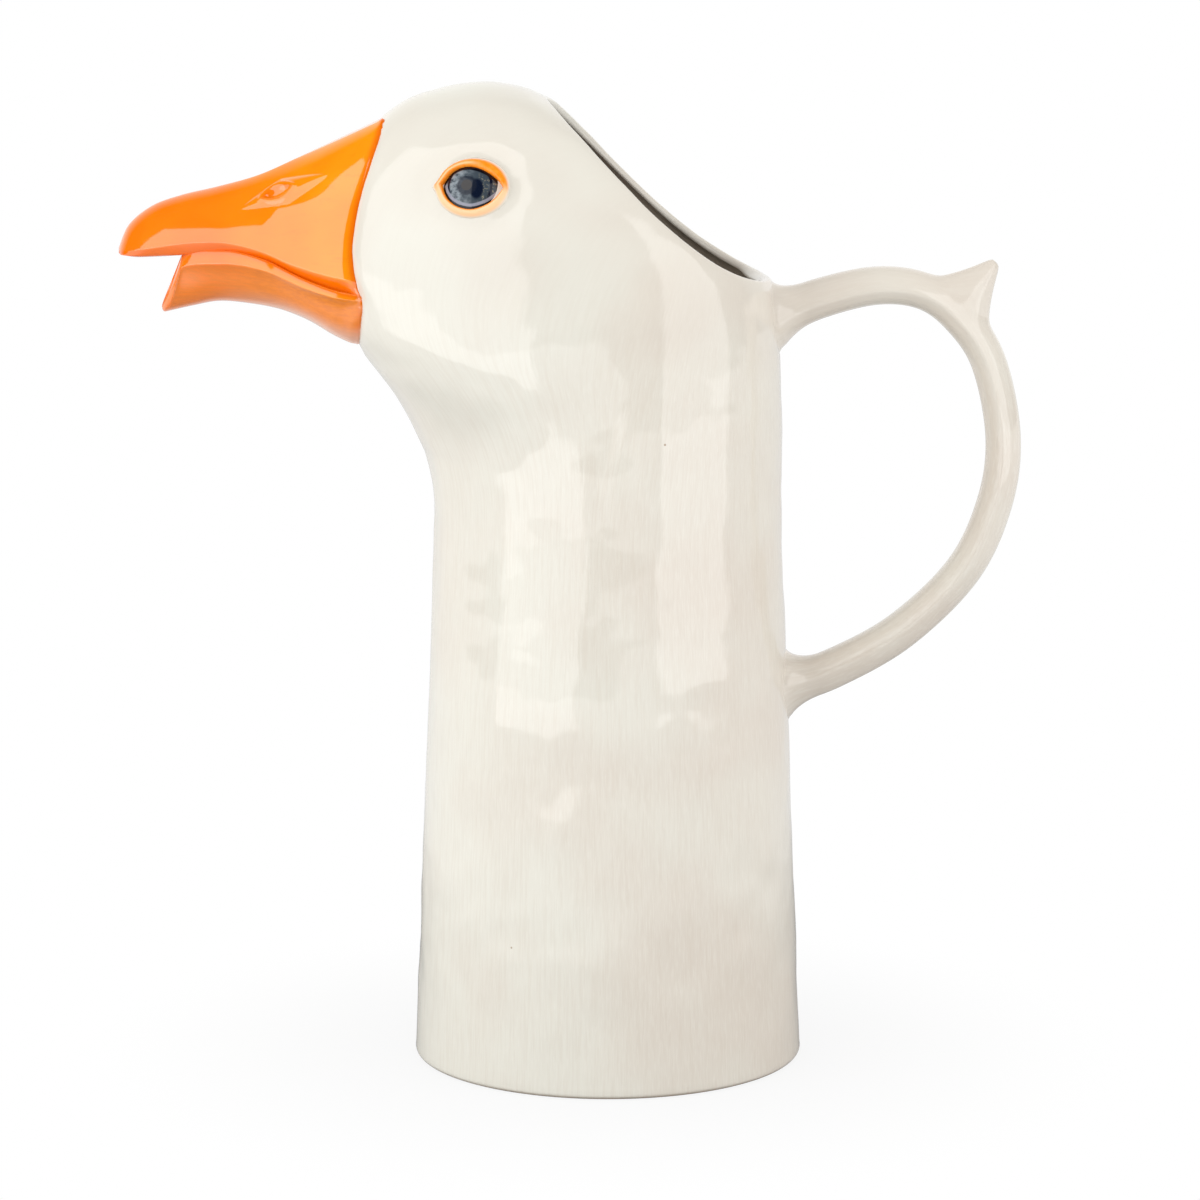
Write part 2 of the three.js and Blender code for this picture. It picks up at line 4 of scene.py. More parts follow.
import bmesh
import bpy
import numpy as np
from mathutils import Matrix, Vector


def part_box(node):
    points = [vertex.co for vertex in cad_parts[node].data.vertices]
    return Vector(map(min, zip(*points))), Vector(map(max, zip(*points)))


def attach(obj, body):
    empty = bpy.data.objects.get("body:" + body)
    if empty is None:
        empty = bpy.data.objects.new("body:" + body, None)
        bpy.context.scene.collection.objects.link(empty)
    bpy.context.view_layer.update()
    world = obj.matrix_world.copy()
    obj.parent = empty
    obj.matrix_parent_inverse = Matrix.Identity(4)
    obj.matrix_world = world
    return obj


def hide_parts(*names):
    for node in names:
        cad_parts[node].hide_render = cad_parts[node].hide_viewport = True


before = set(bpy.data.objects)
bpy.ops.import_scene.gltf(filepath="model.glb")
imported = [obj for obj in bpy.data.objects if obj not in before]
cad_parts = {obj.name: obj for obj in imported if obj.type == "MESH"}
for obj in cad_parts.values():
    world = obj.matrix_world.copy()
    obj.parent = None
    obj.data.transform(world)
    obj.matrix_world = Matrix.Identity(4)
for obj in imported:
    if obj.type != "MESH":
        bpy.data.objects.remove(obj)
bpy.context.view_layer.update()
MM = 0.001

# Neck and foot
BASE_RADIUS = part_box("neck_wall")[1].x
NECK_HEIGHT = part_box("neck_wall")[1].z
FLOOR_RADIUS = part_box("base_floor")[1].x
FLOOR_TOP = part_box("base_floor")[1].z
NECK_TOP_RADIUS = 43.3 * MM
WALL = 4 * MM
RIM_WALL = 2.2 * MM
RIM_ROUND = 0.8 * MM
FOOT_ROUND = 1.4 * MM
FOOT_RECESS = 0.8 * MM
DISC_GAP = 0.3 * MM
DISC_TOP = 2.2 * MM
DISC_DISH = 0.6 * MM
DISC_EDGE = 0.3 * MM
FLOOR_CORNER = 7 * MM

# Head: distances forward of and above the neck's front edge
FACE_LINE = MM * np.array([
    [0, 0], [0.8, 9], [3.7, 16.8], [9, 27], [17.5, 38.5], [27, 50], [31, 65],
    [27, 81], [18, 92.5], [8.3, 99.8], [-1, 103.6], [-11.4, 105.4], [-21, 104.6], [-28.5, 101.8],
])
RIM_BACK_RISE = 57.4 * MM
RIM_BACK_IN = 3.1 * MM
RIM_HALF_WIDTH = 30 * MM
RIM_BACK_REACH = 33 * MM
RIM_SAG = 6 * MM
SAG_SHIFT = 1.4
NAPE_EASE = 1.45
NAPE_TURN = 3
WIDTH_TURN = 2.1
NOSE_FROM = 0.15
NOSE_TO = 0.77
NOSE_SQUARENESS = 1
NOSE_TAPER = 0.38
SOCKET_DEPTH = 0.5 * MM
SOCKET_RADIUS = 9.5 * MM
SOCKET_WIDTH = 2.4 * MM
SOCKET_LENGTH = 1.2
SOCKET_DROP = 0.5 * MM
SOCKET_LUMP_SIZE = 7 * MM

# Throat: how deep it is drawn in, and where that starts and is full
THROAT_TUCK = 2.4 * MM
THROAT_LEAN = 0.3
THROAT_FRONT = 40 * MM
THROAT_TOP = (180 * MM, 152 * MM)
THROAT_FOOT = (90 * MM, 145 * MM)
THROAT_SIDE = (14 * MM, 30 * MM)
THROAT_BACK = (14 * MM, -4 * MM)

# Hand-made lumps: shares of the height and of the size, and a seed
LUMP_HEIGHT = 0.2 * MM
LUMP_SIZE = 16 * MM
LUMPS = ((1, 1, 1), (0.65, 0.5, 2), (0.3, 0.3, 4))
LUMPS_START = (3 * MM, 20 * MM)

# Bill: distances forward of and above the neck's front edge
CULMEN = MM * np.array([
    [12, 96.5], [23, 91.5], [33, 87], [43, 82.6], [53, 79.8],
    [62, 77.7], [69.5, 75], [75.3, 70.4], [78, 64.6],
])
CUTTING_EDGE = MM * np.array([
    [16.5, 54.2], [23.8, 55.6], [32, 58.5], [40.2, 62.4], [49, 64.5],
    [58, 64.4], [66, 63.8], [73, 63.4], [77.6, 63.2],
])
LOWER_RIM = MM * np.array([
    [16.5, 53.7], [23.8, 55.1], [32, 58], [40.2, 61.9], [47.5, 63.9], [53.5, 64.1], [58.4, 63.8], [61.3, 63],
])
KEEL = MM * np.array([
    [18.6, 41.5], [24.5, 43.8], [31, 47], [39, 49.7], [47.5, 51.1], [53.5, 51.4], [59.5, 50.3], [66.6, 48.7],
])
BILL_HALF_WIDTH = 20.5 * MM
BILL_NARROWING = 9 * MM
BILL_TIP_BLUNTNESS = 8
BILL_WALL = 2.6 * MM
LOWER_BILL_INSET = 1.4 * MM
LOWER_BILL_LENGTH = 50 * MM
UPPER_ARCH = 1.35
UPPER_SHOULDER = 0.6
NOSTRIL_ARCH = 2.0
NOSTRIL_SHOULDER = 0.85
ROOF_SHIFT = 0.05
ROOF_LENGTH = 0.14
LOWER_ARCH = 2.4
FACE_BLEND = 0.35
FEATHER_BOW = 4.1 * MM
FEATHER_SHIFT = 0.68
HOLLOW_FULL = 0.6
HOLLOW_END = 0.84
LIP_BAND = 2.7 * MM
LIP_ROOT_BAND = 4.1 * MM
LIP_TIP_BAND = 1.3 * MM
LIP_TUCK = 2.1 * MM
LIP_ROOT_TUCK = 2.9 * MM
LIP_CORNER = 0.3
LIP_CORNER_LENGTH = 0.08
LIP_FORWARD = (0.1, 0.4)
LIP_TIP = (0.6, 0.95)
LIP_END = (0.75, 0.98)
UPPER_EDGE_ROUND = 0.5 * MM
EDGE_END = (0.85, 0.98)
LOWER_EDGE_ROUND = 0.4 * MM
FRONT_ROUND = 0.9 * MM
FRONT_PINCH = 0.48
MOUTH_OVERLAP = 0.7 * MM
RIM_STRIP = 2.9 * MM
RIM_STRIP_CORNER = 1.1 * MM
RIM_STRIP_FRONT = 1.9 * MM
RIM_ROLL = 0.6 * MM
CORNER_TUCK = 0.9 * MM
CORNER_LENGTH = 0.07
CORNER_HEIGHT = 2 * MM
SIDE_HOLLOW = 2.6 * MM
JOINT_GROOVE = 0.7 * MM
JOINT_WIDTH = 1.1 * MM
JOINT_TOP_HEIGHT = 2.5 * MM
JOINT_TOP_FILL = 0.9
JOINT_TOP_PROUD = 1.9
CHIN_MARGIN = 8 * MM
UNDERLAP_RUN = 2 * MM
UNDERLAP_DEPTH = 3
# Widths of the painted shade along the joint and along the open edge
JOINT_CREASE = 0.8 * MM
EDGE_CREASE = 0.7 * MM
EDGE_TURNS = (0.15, 0.5, 0.85)
ROOT_SHARES = (1, 0.7, 0.4, 0.2)
ROOT_DEPTH = 1.1 * MM
ROOT_SHRINK = 0.015
OPENING_AHEAD = 6 * MM

# Nostrils
NOSTRIL_ALONG = 0.277
NOSTRIL_HEIGHT = 0.75
NOSTRIL_SLANT = math.radians(22)
NOSTRIL_HALF_LENGTH = 11.8 * MM
NOSTRIL_HALF_WIDTH = 2.9 * MM
NOSTRIL_RISE = 1.0 * MM
NOSTRIL_LIP = 0.4 * MM
PIT_FORWARD = 1.8 * MM
PIT_HALF_LENGTH = 4.2 * MM
PIT_HALF_WIDTH = 1.3 * MM
PIT_DEPTH = 1.4 * MM

# Eyes: outlines round the eye's centre, towards the back of the head and up
EYE_FORWARD = -10 * MM
EYE_UP = 81.8 * MM
EYE_SLANT = math.radians(6)
EYE_BULGE = 1.9 * MM
EYE_RADIUS = 9.5 * MM
UPPER_LID = MM * np.array([
    [8.4, -0.1], [6.7, 1.9], [4.2, 3.5], [1.2, 4.5], [-1.6, 4.6], [-4.5, 3.3], [-6.8, 0.2],
])
LOWER_LID = MM * np.array([
    [-6.8, 0.2], [-5.9, -2], [-4.4, -3.8], [-2, -5.1], [1.1, -5.5], [4.2, -4.4], [6.4, -2.7], [8.4, -0.1],
])
LID_MIDDLE = MM * np.array([0.7, -0.25])
LID_HALF_SIZE = MM * np.array([9.1, 7.65])
TEAR_POINT = 0.8 * MM
LID_RISE = 1.5 * MM
LID_PROFILE = (
    (-0.1, -1.4), (-0.05, -0.6), (0.0, 0.1), (0.05, 0.5), (0.14, 0.82), (0.26, 0.98), (0.4, 1.0),
    (0.55, 0.9), (0.7, 0.66), (0.84, 0.36), (0.96, 0.05), (1.08, -0.35), (1.1, -1.2),
)
EYE_SPREAD = 1.06
EYE_SKIRT = 1.5 * MM

# Handle
UPPER_ROOT_RISE = 47.5 * MM
HANDLE_SPAN = 93 * MM
HANDLE_REACH = 55.6 * MM
STRAP_WIDTH = 13.5 * MM
STRAP_THICKNESS = 8.8 * MM
STRAP_ROOT_EXTRA = 1.8 * MM
STRAP_RIDGE = 1.45
STRAP_RIDGE_SHIFT = 0.14
STRAP_ROUTE = np.array([
    [0, 0], [0.192, -0.048], [0.447, -0.082], [0.657, -0.067], [0.812, 0.001], [0.941, 0.123],
    [1, 0.328], [0.953, 0.51], [0.805, 0.69], [0.517, 0.855], [0.204, 0.959], [-0.008, 1],
])
SPUR_LENGTH = 15.9 * MM
SPUR_FOOT = 10.5 * MM
SPUR_TIP = 1.4 * MM
SPUR_HOLLOW = 1.7
SPUR_EDGE = 1.5
SPUR_ANGLE = math.radians(52)
SPUR_PLACE = 0.35
FLARE_LENGTH = 9 * MM
FLARE_WIDTH = 5.2 * MM
FLARE_DROP = 0.2 * MM
UPPER_FLARE_END = 0.14
LOWER_FLARE_START = 0.84
ROOT_RUN = 8 * MM
ROOT_SINK = 2.5 * MM
ROOT_COVER = 0.4 * MM

# Camera and light
LENS = 133.0
CAMERA_PLACE = (-0.002, -1.098, 0.304)
CAMERA_PITCH = math.radians(9.72)
SOFTBOX_RADIANCE = 1.17
SKY_LOW = 0.1
SKY_HIGH = 1.12
FRONT_GLOW = 0.02
LEFT_GLOW = 1.65
RIGHT_GLOW = 1.25
SKY_SPAN = (-0.2, 1.0)
LEFT_SPAN = (-0.9, -0.1)
RIGHT_SPAN = (0.1, 0.9)
BACKDROP_SPAN = (0.45, 0.9)
SHADOW_SPAN = (0.045, 0.14)
SHADOW_GLOW = 0.86
NEAR_FLOOR = (0.15, 0.35)
NEAR_FLOOR_MIRRORED = 0.3
FAR_FLOOR_MIRRORED = 0.78
FLOOR_GREY = (0.64, 0.64, 0.64)
FLOOR_REACH = 4.0
LEFT_SOFTBOX = {"azimuth": -46, "low": 0.035, "high": 0.83, "width": 0.48}
RIGHT_SOFTBOX = {"azimuth": 54, "low": 0.045, "high": 0.62, "width": 0.46}
SOFTBOX_DISTANCE = 0.46

# How strongly each glaze mirrors, and how smooth it is
WHITE_REFRACTION = 1.7
ORANGE_REFRACTION = 2.15
PAINT_REFRACTION = 1.45
GLOSS = (0.05, 0.09)

# Colours of the glazes and the clay; some stand for painted shade or a painted highlight
CREAM = (0.72, 0.70, 0.625)
# Darker warm cream: the glaze's uneven tone, and painted shade on the right side
WARM_CREAM_AND_SHADE = (0.665, 0.605, 0.53)
BRUSH_SHADE = (0.56, 0.475, 0.385)
BRUSH_LIGHT = (0.80, 0.78, 0.71)
IRON_SPECK = (0.30, 0.20, 0.11)
# Bare clay edge at the foot, and painted contact shadow
FOOT_EDGE_AND_SHADOW = (0.30, 0.22, 0.15)
# Painted shade for the inside of the jug
INSIDE_SHADE = (0.27, 0.21, 0.15)
BILL_ORANGE = (1.0, 0.19, 0.001)
BILL_AMBER = (1.0, 0.31, 0.002)
BILL_STREAK = (0.92, 0.19, 0.002)
# Painted shade in the bill's grooves, on the tucked lip band and inside
BILL_CREASE_SHADE = (0.90, 0.15, 0.0)
# Darker orange of the lower side: brushed hatching, and painted shade of the hollow side
BILL_HATCHING_AND_SHADE = (0.80, 0.20, 0.004)
CHIN_PINK = (0.90, 0.52, 0.38)
UPPER_LID_ORANGE = (1.0, 0.25, 0.005)
UPPER_LID_STROKES = (1.0, 0.33, 0.03)
# Painted highlight on the upper lid
UPPER_LID_HIGHLIGHT = (1.0, 0.62, 0.35)
LOWER_LID_ORANGE = (1.0, 0.27, 0.01)
LOWER_LID_PEACH = (0.98, 0.58, 0.32)
LID_HEM = (0.72, 0.66, 0.57)
EYE_SLATE = (0.045, 0.06, 0.075)
EYE_GREY = (0.26, 0.30, 0.33)
EYE_FLECKS = (0.30, 0.28, 0.20)
EYE_PATCH = (0.004, 0.008, 0.022)
PUPIL_RING = (0.012, 0.016, 0.028)
PUPIL = (0.048, 0.045, 0.045)
IRIS_ARC = (0.005, 0.007, 0.02)
EYE_WATER = (0.27, 0.28, 0.34)
EYE_OUTLINE = (0.003, 0.003, 0.006)
CLAY = (0.70, 0.60, 0.48)
PALE_CLAY = (0.76, 0.69, 0.58)
CLAY_GRAIN = (0.50, 0.40, 0.30)

# Fineness of the meshes
AROUND = 300
NECK_ROWS = 100
HEAD_ROWS = 110
BEND_ROWS = 14
BEND_ROUNDS = 60
STRAP_AROUND = 96
STRAP_ROWS = 330
DISC_AROUND = 120
EYE_AROUND = 160
EYE_ROWS = 60
UPPER_STATIONS = 210
UPPER_COLUMNS = (18, 130)
LOWER_STATIONS = 150
LOWER_COLUMNS = (20, 40)
SAME_PLACE = 0.0003 * MM


# Numbers and noise

def lerp(a, b, t):
    return a + (b - a) * t


def smoothstep(x, low, high):
    t = np.clip((x - low) / (high - low), 0, 1)
    return t * t * (3 - 2 * t)


def bell(x, width):
    return np.exp(-(x / width) ** 2)


def unit(vectors):
    return vectors / np.maximum(np.linalg.norm(vectors, axis=-1, keepdims=True), 1e-12)


def along(rows, t):
    """The values at t, 0 to 1, on a smooth curve through evenly spaced rows."""
    last = len(rows) - 1
    place = np.clip(t, 0, 1) * last
    i = np.minimum(place.astype(int), last - 1)
    f = (place - i)[..., None]
    p0, p1, p2, p3 = (rows[np.clip(i + k, 0, last)] for k in (-1, 0, 1, 2))
    bend = 2 * p0 - 5 * p1 + 4 * p2 - p3
    return p1 + 0.5 * f * (p2 - p0 + f * (bend + f * (3 * (p1 - p2) + p3 - p0)))


def narrow_down(low, high, rounds, test):
    """The highest values between low and high for which a test holds, found by halves."""
    for _ in range(rounds):
        middle = (low + high) / 2
        holds = test(middle)
        low, high = np.where(holds, middle, low), np.where(holds, high, middle)
    return low


def smooth_noise(points, cell, seed):
    """Smooth noise from -1 to 1 at each point, with lumps as large as a cell."""
    place = points / cell
    corner = np.floor(place).astype(np.int64)
    part = place - corner
    fade = part ** 3 * (part * (part * 6 - 15) + 10)
    total = np.zeros(points.shape[:-1])
    for step in itertools.product((0, 1), repeat=3):
        at = corner + np.array(step)
        mixed = at[..., 0] * 374761393 + at[..., 1] * 668265263 + at[..., 2] * 974634777 + seed * 362437
        mixed = (mixed ^ (mixed >> 13)) * 1274126177 & 0xFFFFFFFF
        value = ((mixed ^ (mixed >> 16)) & 0xFFFF) / 0x7FFF - 1
        total += value * np.prod(np.where(np.array(step), fade, 1 - fade), axis=-1)
    return total


def turns(count, start=0.0):
    """Evenly spaced angles, once round."""
    return (np.arange(count) + start) / count * 2 * np.pi


def ring_normals(points):
    """Outward normals of rings of points that lie one above the other."""
    across = np.roll(points, -1, axis=1) - np.roll(points, 1, axis=1)
    return unit(np.cross(across, np.gradient(points, axis=0)))


# Meshes

def ring_faces(rows, columns, joined=False):
    """Faces between rings of points that lie one after the other; the last can join the first."""
    i, j = np.meshgrid(np.arange(rows if joined else rows - 1), np.arange(columns), indexing="ij")
    after, k = (i + 1) % rows, (j + 1) % columns
    corners = [i * columns + j, i * columns + k, after * columns + k, after * columns + j]
    return np.stack(corners, axis=-1).reshape(-1, 4).tolist()


def closed_tube(rows):
    """Points and faces of rings with a point in the middle of each end."""
    count, columns = rows.shape[:2]
    points = np.concatenate([rows.reshape(-1, 3), [rows[0].mean(axis=0)], [rows[-1].mean(axis=0)]])
    faces = ring_faces(count, columns)
    last = (count - 1) * columns
    for j in range(columns):
        k = (j + 1) % columns
        faces.append([k, j, len(points) - 2])
        faces.append([last + j, last + k, len(points) - 1])
    return points, faces


def with_ends(values):
    """Values for the points of a closed tube, from values for its rings."""
    flat = values.reshape(-1, *values.shape[2:])
    return np.concatenate([flat, values[0].mean(axis=0)[None], values[-1].mean(axis=0)[None]])


def add_object(name, data):
    thing = bpy.data.objects.new(name, data)
    bpy.context.scene.collection.objects.link(thing)
    return thing


def mesh_piece(name, points, faces, material, layers, nodes, slot):
    """A closed, smooth piece of the jug, with values for its material at each point."""
    mesh = bpy.data.meshes.new(name)
    mesh.from_pydata(np.asarray(points, float).tolist(), [], faces)
    for layer, values in layers.items():
        values = np.asarray(values, np.float32)
        kind, field = ("FLOAT", "value") if values.ndim == 1 else ("FLOAT_VECTOR", "vector")
        mesh.attributes.new(layer, kind, "POINT").data.foreach_set(field, values.ravel())
    finish_mesh(mesh, merge_points)
    mesh.materials.append(material)
    piece = add_object(name, mesh)
    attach(piece, "root")
    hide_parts(*nodes)
    return piece


def merge_points(net):
    """Makes one of the points that lie in one place, where rings meet inside the wall."""
    bmesh.ops.remove_doubles(net, verts=net.verts, dist=SAME_PLACE)
    return []


def finish_mesh(mesh, change):
    """Changes a mesh, turns its faces outwards and shades it smooth but for the edges of a cut."""
    net = bmesh.new()
    net.from_mesh(mesh)
    cut = change(net)
    bmesh.ops.recalc_face_normals(net, faces=net.faces)
    net.edges.index_update()
    sharp = [edge.index for edge in cut]
    net.to_mesh(mesh)
    net.free()
    mesh.shade_smooth()
    for index in sharp:
        mesh.edges[index].use_edge_sharp = True


# Head: rings that lie level at the neck's top and lean back towards the mouth's edge

def wall_radius(z):
    return lerp(BASE_RADIUS, NECK_TOP_RADIUS, z / NECK_HEIGHT)


def side_point(place):
    """A point in the side view, from its distance forward of and above the neck's front edge."""
    x = -NECK_TOP_RADIUS - place[..., 0]
    return np.stack([x, np.zeros_like(x), NECK_HEIGHT + place[..., 1]], axis=-1)


def head_ring(t):
    front = side_point(along(FACE_LINE, t))
    inward = RIM_BACK_IN * t ** NAPE_TURN
    rise = RIM_BACK_RISE * t * (NAPE_EASE - (NAPE_EASE - 1) * t)
    back = np.stack([NECK_TOP_RADIUS - inward, np.zeros_like(t), NECK_HEIGHT + rise], axis=-1)
    way = unit(back - front)
    back_reach = lerp(NECK_TOP_RADIUS, RIM_BACK_REACH, t)
    nose = np.sin(np.pi * np.clip((t - NOSE_FROM) / (NOSE_TO - NOSE_FROM), 0, 1)) ** 2
    return {
        "way": way,
        "back_reach": back_reach,
        "front_reach": np.linalg.norm(back - front, axis=-1) - back_reach,
        "middle": back - way * back_reach[..., None],
        "half_width": lerp(NECK_TOP_RADIUS, RIM_HALF_WIDTH, t ** WIDTH_TURN),
        "exponent": 2 + NOSE_SQUARENESS * nose,
        "taper": NOSE_TAPER * nose,
        "sag": RIM_SAG * t * t,
    }


def ring_sag(ring, run):
    length = ring["front_reach"] + ring["back_reach"]
    share = np.clip((ring["front_reach"] + run) / length, 0, 1) ** SAG_SHIFT
    return 4 * ring["sag"] * share * (1 - share)


def ring_half_width(ring, cosine):
    """A ring's half width at a cosine: -1 at the front, 0 at the widest place, 1 at the back."""
    ahead = cosine < 0
    exponent = np.where(ahead, ring["exponent"], 2)
    taper = np.where(ahead, 1 - ring["taper"] * cosine * cosine, 1)
    return ring["half_width"] * taper * np.maximum(0, 1 - np.abs(cosine) ** exponent) ** (1 / exponent)


def head_surface(t, angle):
    t, angle = np.broadcast_arrays(t, angle)
    ring = head_ring(t)
    cosine = np.cos(angle)
    run = cosine * np.where(cosine < 0, ring["front_reach"], ring["back_reach"])
    point = ring["middle"] + ring["way"] * run[..., None]
    point[..., 2] -= ring_sag(ring, run)
    point[..., 1] = np.sign(np.sin(angle)) * ring_half_width(ring, cosine)
    return point


def head_half_width(x, z):
    """The half width of the head's skin at places in the side view."""
    def run_on_ring(ring):
        return (x - ring["middle"][..., 0]) / ring["way"][..., 0]

    def ring_is_below(t):
        ring = head_ring(t)
        run = run_on_ring(ring)
        return ring["middle"][..., 2] + ring["way"][..., 2] * run - ring_sag(ring, run) < z

    ring = head_ring(narrow_down(np.zeros_like(x), np.ones_like(x), 36, ring_is_below))
    run = run_on_ring(ring)
    reach = np.where(run < 0, ring["front_reach"], ring["back_reach"])
    return ring_half_width(ring, np.clip(run / reach, -1, 1))


def body_half_width(x, z):
    neck = np.sqrt(np.maximum(0, wall_radius(z) ** 2 - x * x))
    return np.where(z < NECK_HEIGHT, neck, head_half_width(x, np.maximum(z, NECK_HEIGHT)))


# Bill outlines: a station is a line from the open edge (share 0) to the culmen or keel (share 1)

def upper_bill_line(t, share):
    point = lerp(side_point(along(CUTTING_EDGE, t)), side_point(along(CULMEN, t)), share[..., None])
    bow = FEATHER_BOW * np.sin(np.pi * np.clip(share, 0, 1) ** FEATHER_SHIFT)
    point[..., 0] -= bow * np.clip(1 - t, 0, 1) ** 2
    return point


def lower_bill_line(t, share):
    return lerp(side_point(along(LOWER_RIM, t)), side_point(along(KEEL, t)), share[..., None])


def bill_half_width(root, place, arch, inset):
    tip = np.sqrt(np.maximum(0, 1 - np.clip(place, 0, 1) ** BILL_TIP_BLUNTNESS))
    own = ((BILL_HALF_WIDTH - BILL_NARROWING * place) * tip - inset) * arch
    return lerp(head_half_width(root[..., 0], root[..., 2]), own, smoothstep(place, 0, FACE_BLEND))


def joint_line():
    """The line in the side view where the feathers end, from the culmen down to the chin."""
    shares = np.linspace(1, 0, 60)
    upper = upper_bill_line(np.zeros_like(shares), shares)
    lower = lower_bill_line(np.zeros(30), np.linspace(0, 1, 30))
    return np.concatenate([upper, lower])[:, [0, 2]]


JOINT_LINE = joint_line()


# Body: one skin from the underside round the foot, up the outside, over the rim and down inside

def neck_ring(radius, z, angle):
    return np.stack([radius * np.cos(angle), radius * np.sin(angle), np.full_like(angle, z)], axis=-1)


def rings(profile, angle):
    """Level rings, one for each radius and height."""
    return np.array([neck_ring(radius, z, angle) for radius, z in profile])


def unrolled(radius, angle, run):
    """Places on a straight tube, for brush lines that follow a piece's length."""
    return rings([(radius, z) for z in run], angle)


def foot_profile():
    """Radius and height of rings from the underside's middle to the outside of the wall."""
    rows = [(share * FLOOR_RADIUS, FOOT_RECESS) for share in (0.05, 0.3, 0.6, 0.9, 0.99)]
    rows += [(FLOOR_RADIUS, 0.7 * FOOT_RECESS), (FLOOR_RADIUS + FOOT_RECESS / 2, 0.1 * FOOT_RECESS)]
    rows += [(FLOOR_RADIUS + FOOT_RECESS, 0)]
    for turn in np.linspace(0, math.pi / 2, 7):
        rows.append((BASE_RADIUS - FOOT_ROUND * (1 - math.sin(turn)), FOOT_ROUND * (1 - math.cos(turn))))
    return rows


def floor_profile():
    """Radius and height of rings down the inside of the wall to the floor's middle."""
    rows = []
    for z in np.linspace(NECK_HEIGHT, FLOOR_TOP + FLOOR_CORNER, 30)[1:]:
        rows.append((wall_radius(z) - WALL, z))
    middle = rows[-1][0] - FLOOR_CORNER
    for turn in np.linspace(0, math.pi / 2, 8)[1:]:
        rows.append((middle + FLOOR_CORNER * math.cos(turn), FLOOR_TOP + FLOOR_CORNER * (1 - math.sin(turn))))
    return rows + [(share * middle, FLOOR_TOP) for share in (0.75, 0.5, 0.25, 0.05)]


def soften_rows(points, chosen, rounds):
    """Rounds the bend along the chosen rows."""
    for _ in range(rounds):
        middle = points[1:-1] + 0.25 * (points[2:] - 2 * points[1:-1] + points[:-2])
        points[1:-1] = np.where(chosen[1:-1, None, None], middle, points[1:-1])
    return points


def eye_seat(side):
    """The eye's place on the head's skin, the skin's normal, and the eye's long and upward ways."""
    point = side_point(np.array([EYE_FORWARD, EYE_UP]))
    step = 0.5 * MM
    width = head_half_width(point[0], point[2])
    slope_x = (width - head_half_width(point[0] - step, point[2])) / step
    slope_z = (head_half_width(point[0], point[2] + step) - width) / step
    normal = unit(np.array([-slope_x, side, -slope_z]))
    lengthways = np.array([math.cos(EYE_SLANT), 0, -math.sin(EYE_SLANT)])
    lengthways = unit(lengthways - normal * (lengthways @ normal))
    upward = np.cross(lengthways, normal) * side
    return np.array([point[0], side * width, point[2]]), normal, lengthways, upward


def hand_made(points):
    """How far the skin lies off its true shape: slight lumps, drawn-in throat and hollows round the eyes."""
    x, y, z = np.moveaxis(points, -1, 0)
    lumps = np.zeros_like(x)
    for tall, wide, seed in LUMPS:
        lumps += tall * LUMP_HEIGHT * smooth_noise(points, wide * LUMP_SIZE, seed)
    lumps *= smoothstep(z, *LUMPS_START)
    level = z - THROAT_LEAN * (x + THROAT_FRONT)
    throat = smoothstep(level, *THROAT_TOP) * smoothstep(z, *THROAT_FOOT)
    lumps -= THROAT_TUCK * throat * smoothstep(np.abs(y), *THROAT_SIDE) * smoothstep(x, *THROAT_BACK)
    for side in (-1, 1):
        seat, _, lengthways, upward = eye_seat(side)
        offset = points - seat
        reach = np.hypot(offset @ lengthways / SOCKET_LENGTH, offset @ upward + SOCKET_DROP)
        uneven = 1 + 0.6 * smooth_noise(points, SOCKET_LUMP_SIZE, 3)
        socket = SOCKET_DEPTH * uneven * bell(reach - SOCKET_RADIUS, SOCKET_WIDTH)
        lumps -= np.where(y * side > 0, socket, 0)
    return lumps


def joint_sinking(points):
    """The groove along the bill's joint, and the skin ahead of it, which lies under the bill."""
    x, z = points[..., 0], points[..., 2]
    line = np.interp(z, JOINT_LINE[::-1, 1], JOINT_LINE[::-1, 0])
    top = JOINT_LINE[0, 1]
    ahead = np.where(z > top, -np.hypot(z - top, np.maximum(x - line, 0)), line - x)
    near = (z > JOINT_LINE[-1, 1] - CHIN_MARGIN) & (line - x > -0.5 * NECK_TOP_RADIUS)
    groove = bell(ahead, JOINT_WIDTH) * (1 - JOINT_TOP_FILL * bell(np.maximum(top - z, 0), JOINT_TOP_HEIGHT))
    depth = np.where(ahead > 0, np.minimum(1 + ahead / UNDERLAP_RUN, UNDERLAP_DEPTH), groove)
    return np.where(near, JOINT_GROOVE * depth, 0)


def body_rows():
    """Rings of the body's skin, and the number of the ring where the inside starts."""
    angle = turns(AROUND, 0.5)
    foot = rings(foot_profile(), angle)
    heights = np.linspace(foot[-1, 0, 2], NECK_HEIGHT, NECK_ROWS)[1:-1]
    neck = rings([(wall_radius(z), z) for z in heights], angle)
    step = 0.01
    edge_way = head_surface(1.0, angle) - head_surface(1 - step, angle)
    top = 1 - RIM_ROUND * step / np.linalg.norm(edge_way, axis=-1)
    share = np.linspace(0, 1, HEAD_ROWS)
    outside = np.concatenate([neck, head_surface(share[:, None] * top, angle)])
    bend = np.abs(np.arange(len(outside)) - len(neck)) < BEND_ROWS
    outside = soften_rows(outside, bend, BEND_ROUNDS)
    normals = ring_normals(outside)
    thinned = smoothstep(share, 0.75, 1)[:, None] * (1 - smoothstep(np.cos(angle), 0.75, 0.97))
    inside = (outside[len(neck):] - normals[len(neck):] * lerp(WALL, RIM_WALL, thinned)[..., None])[::-1]
    outside = outside + normals * (hand_made(outside) - joint_sinking(outside))[..., None]
    rim = []
    for turn in np.linspace(0, np.pi, 9)[1:-1]:
        across = lerp(outside[-1], inside[0], (1 - math.cos(turn)) / 2)
        rim.append(across + unit(edge_way) * RIM_ROUND * math.sin(turn))
    rows = np.concatenate([foot, outside, np.array(rim), inside[::3], rings(floor_profile(), angle)])
    return rows, len(foot) + len(outside) + len(rim)


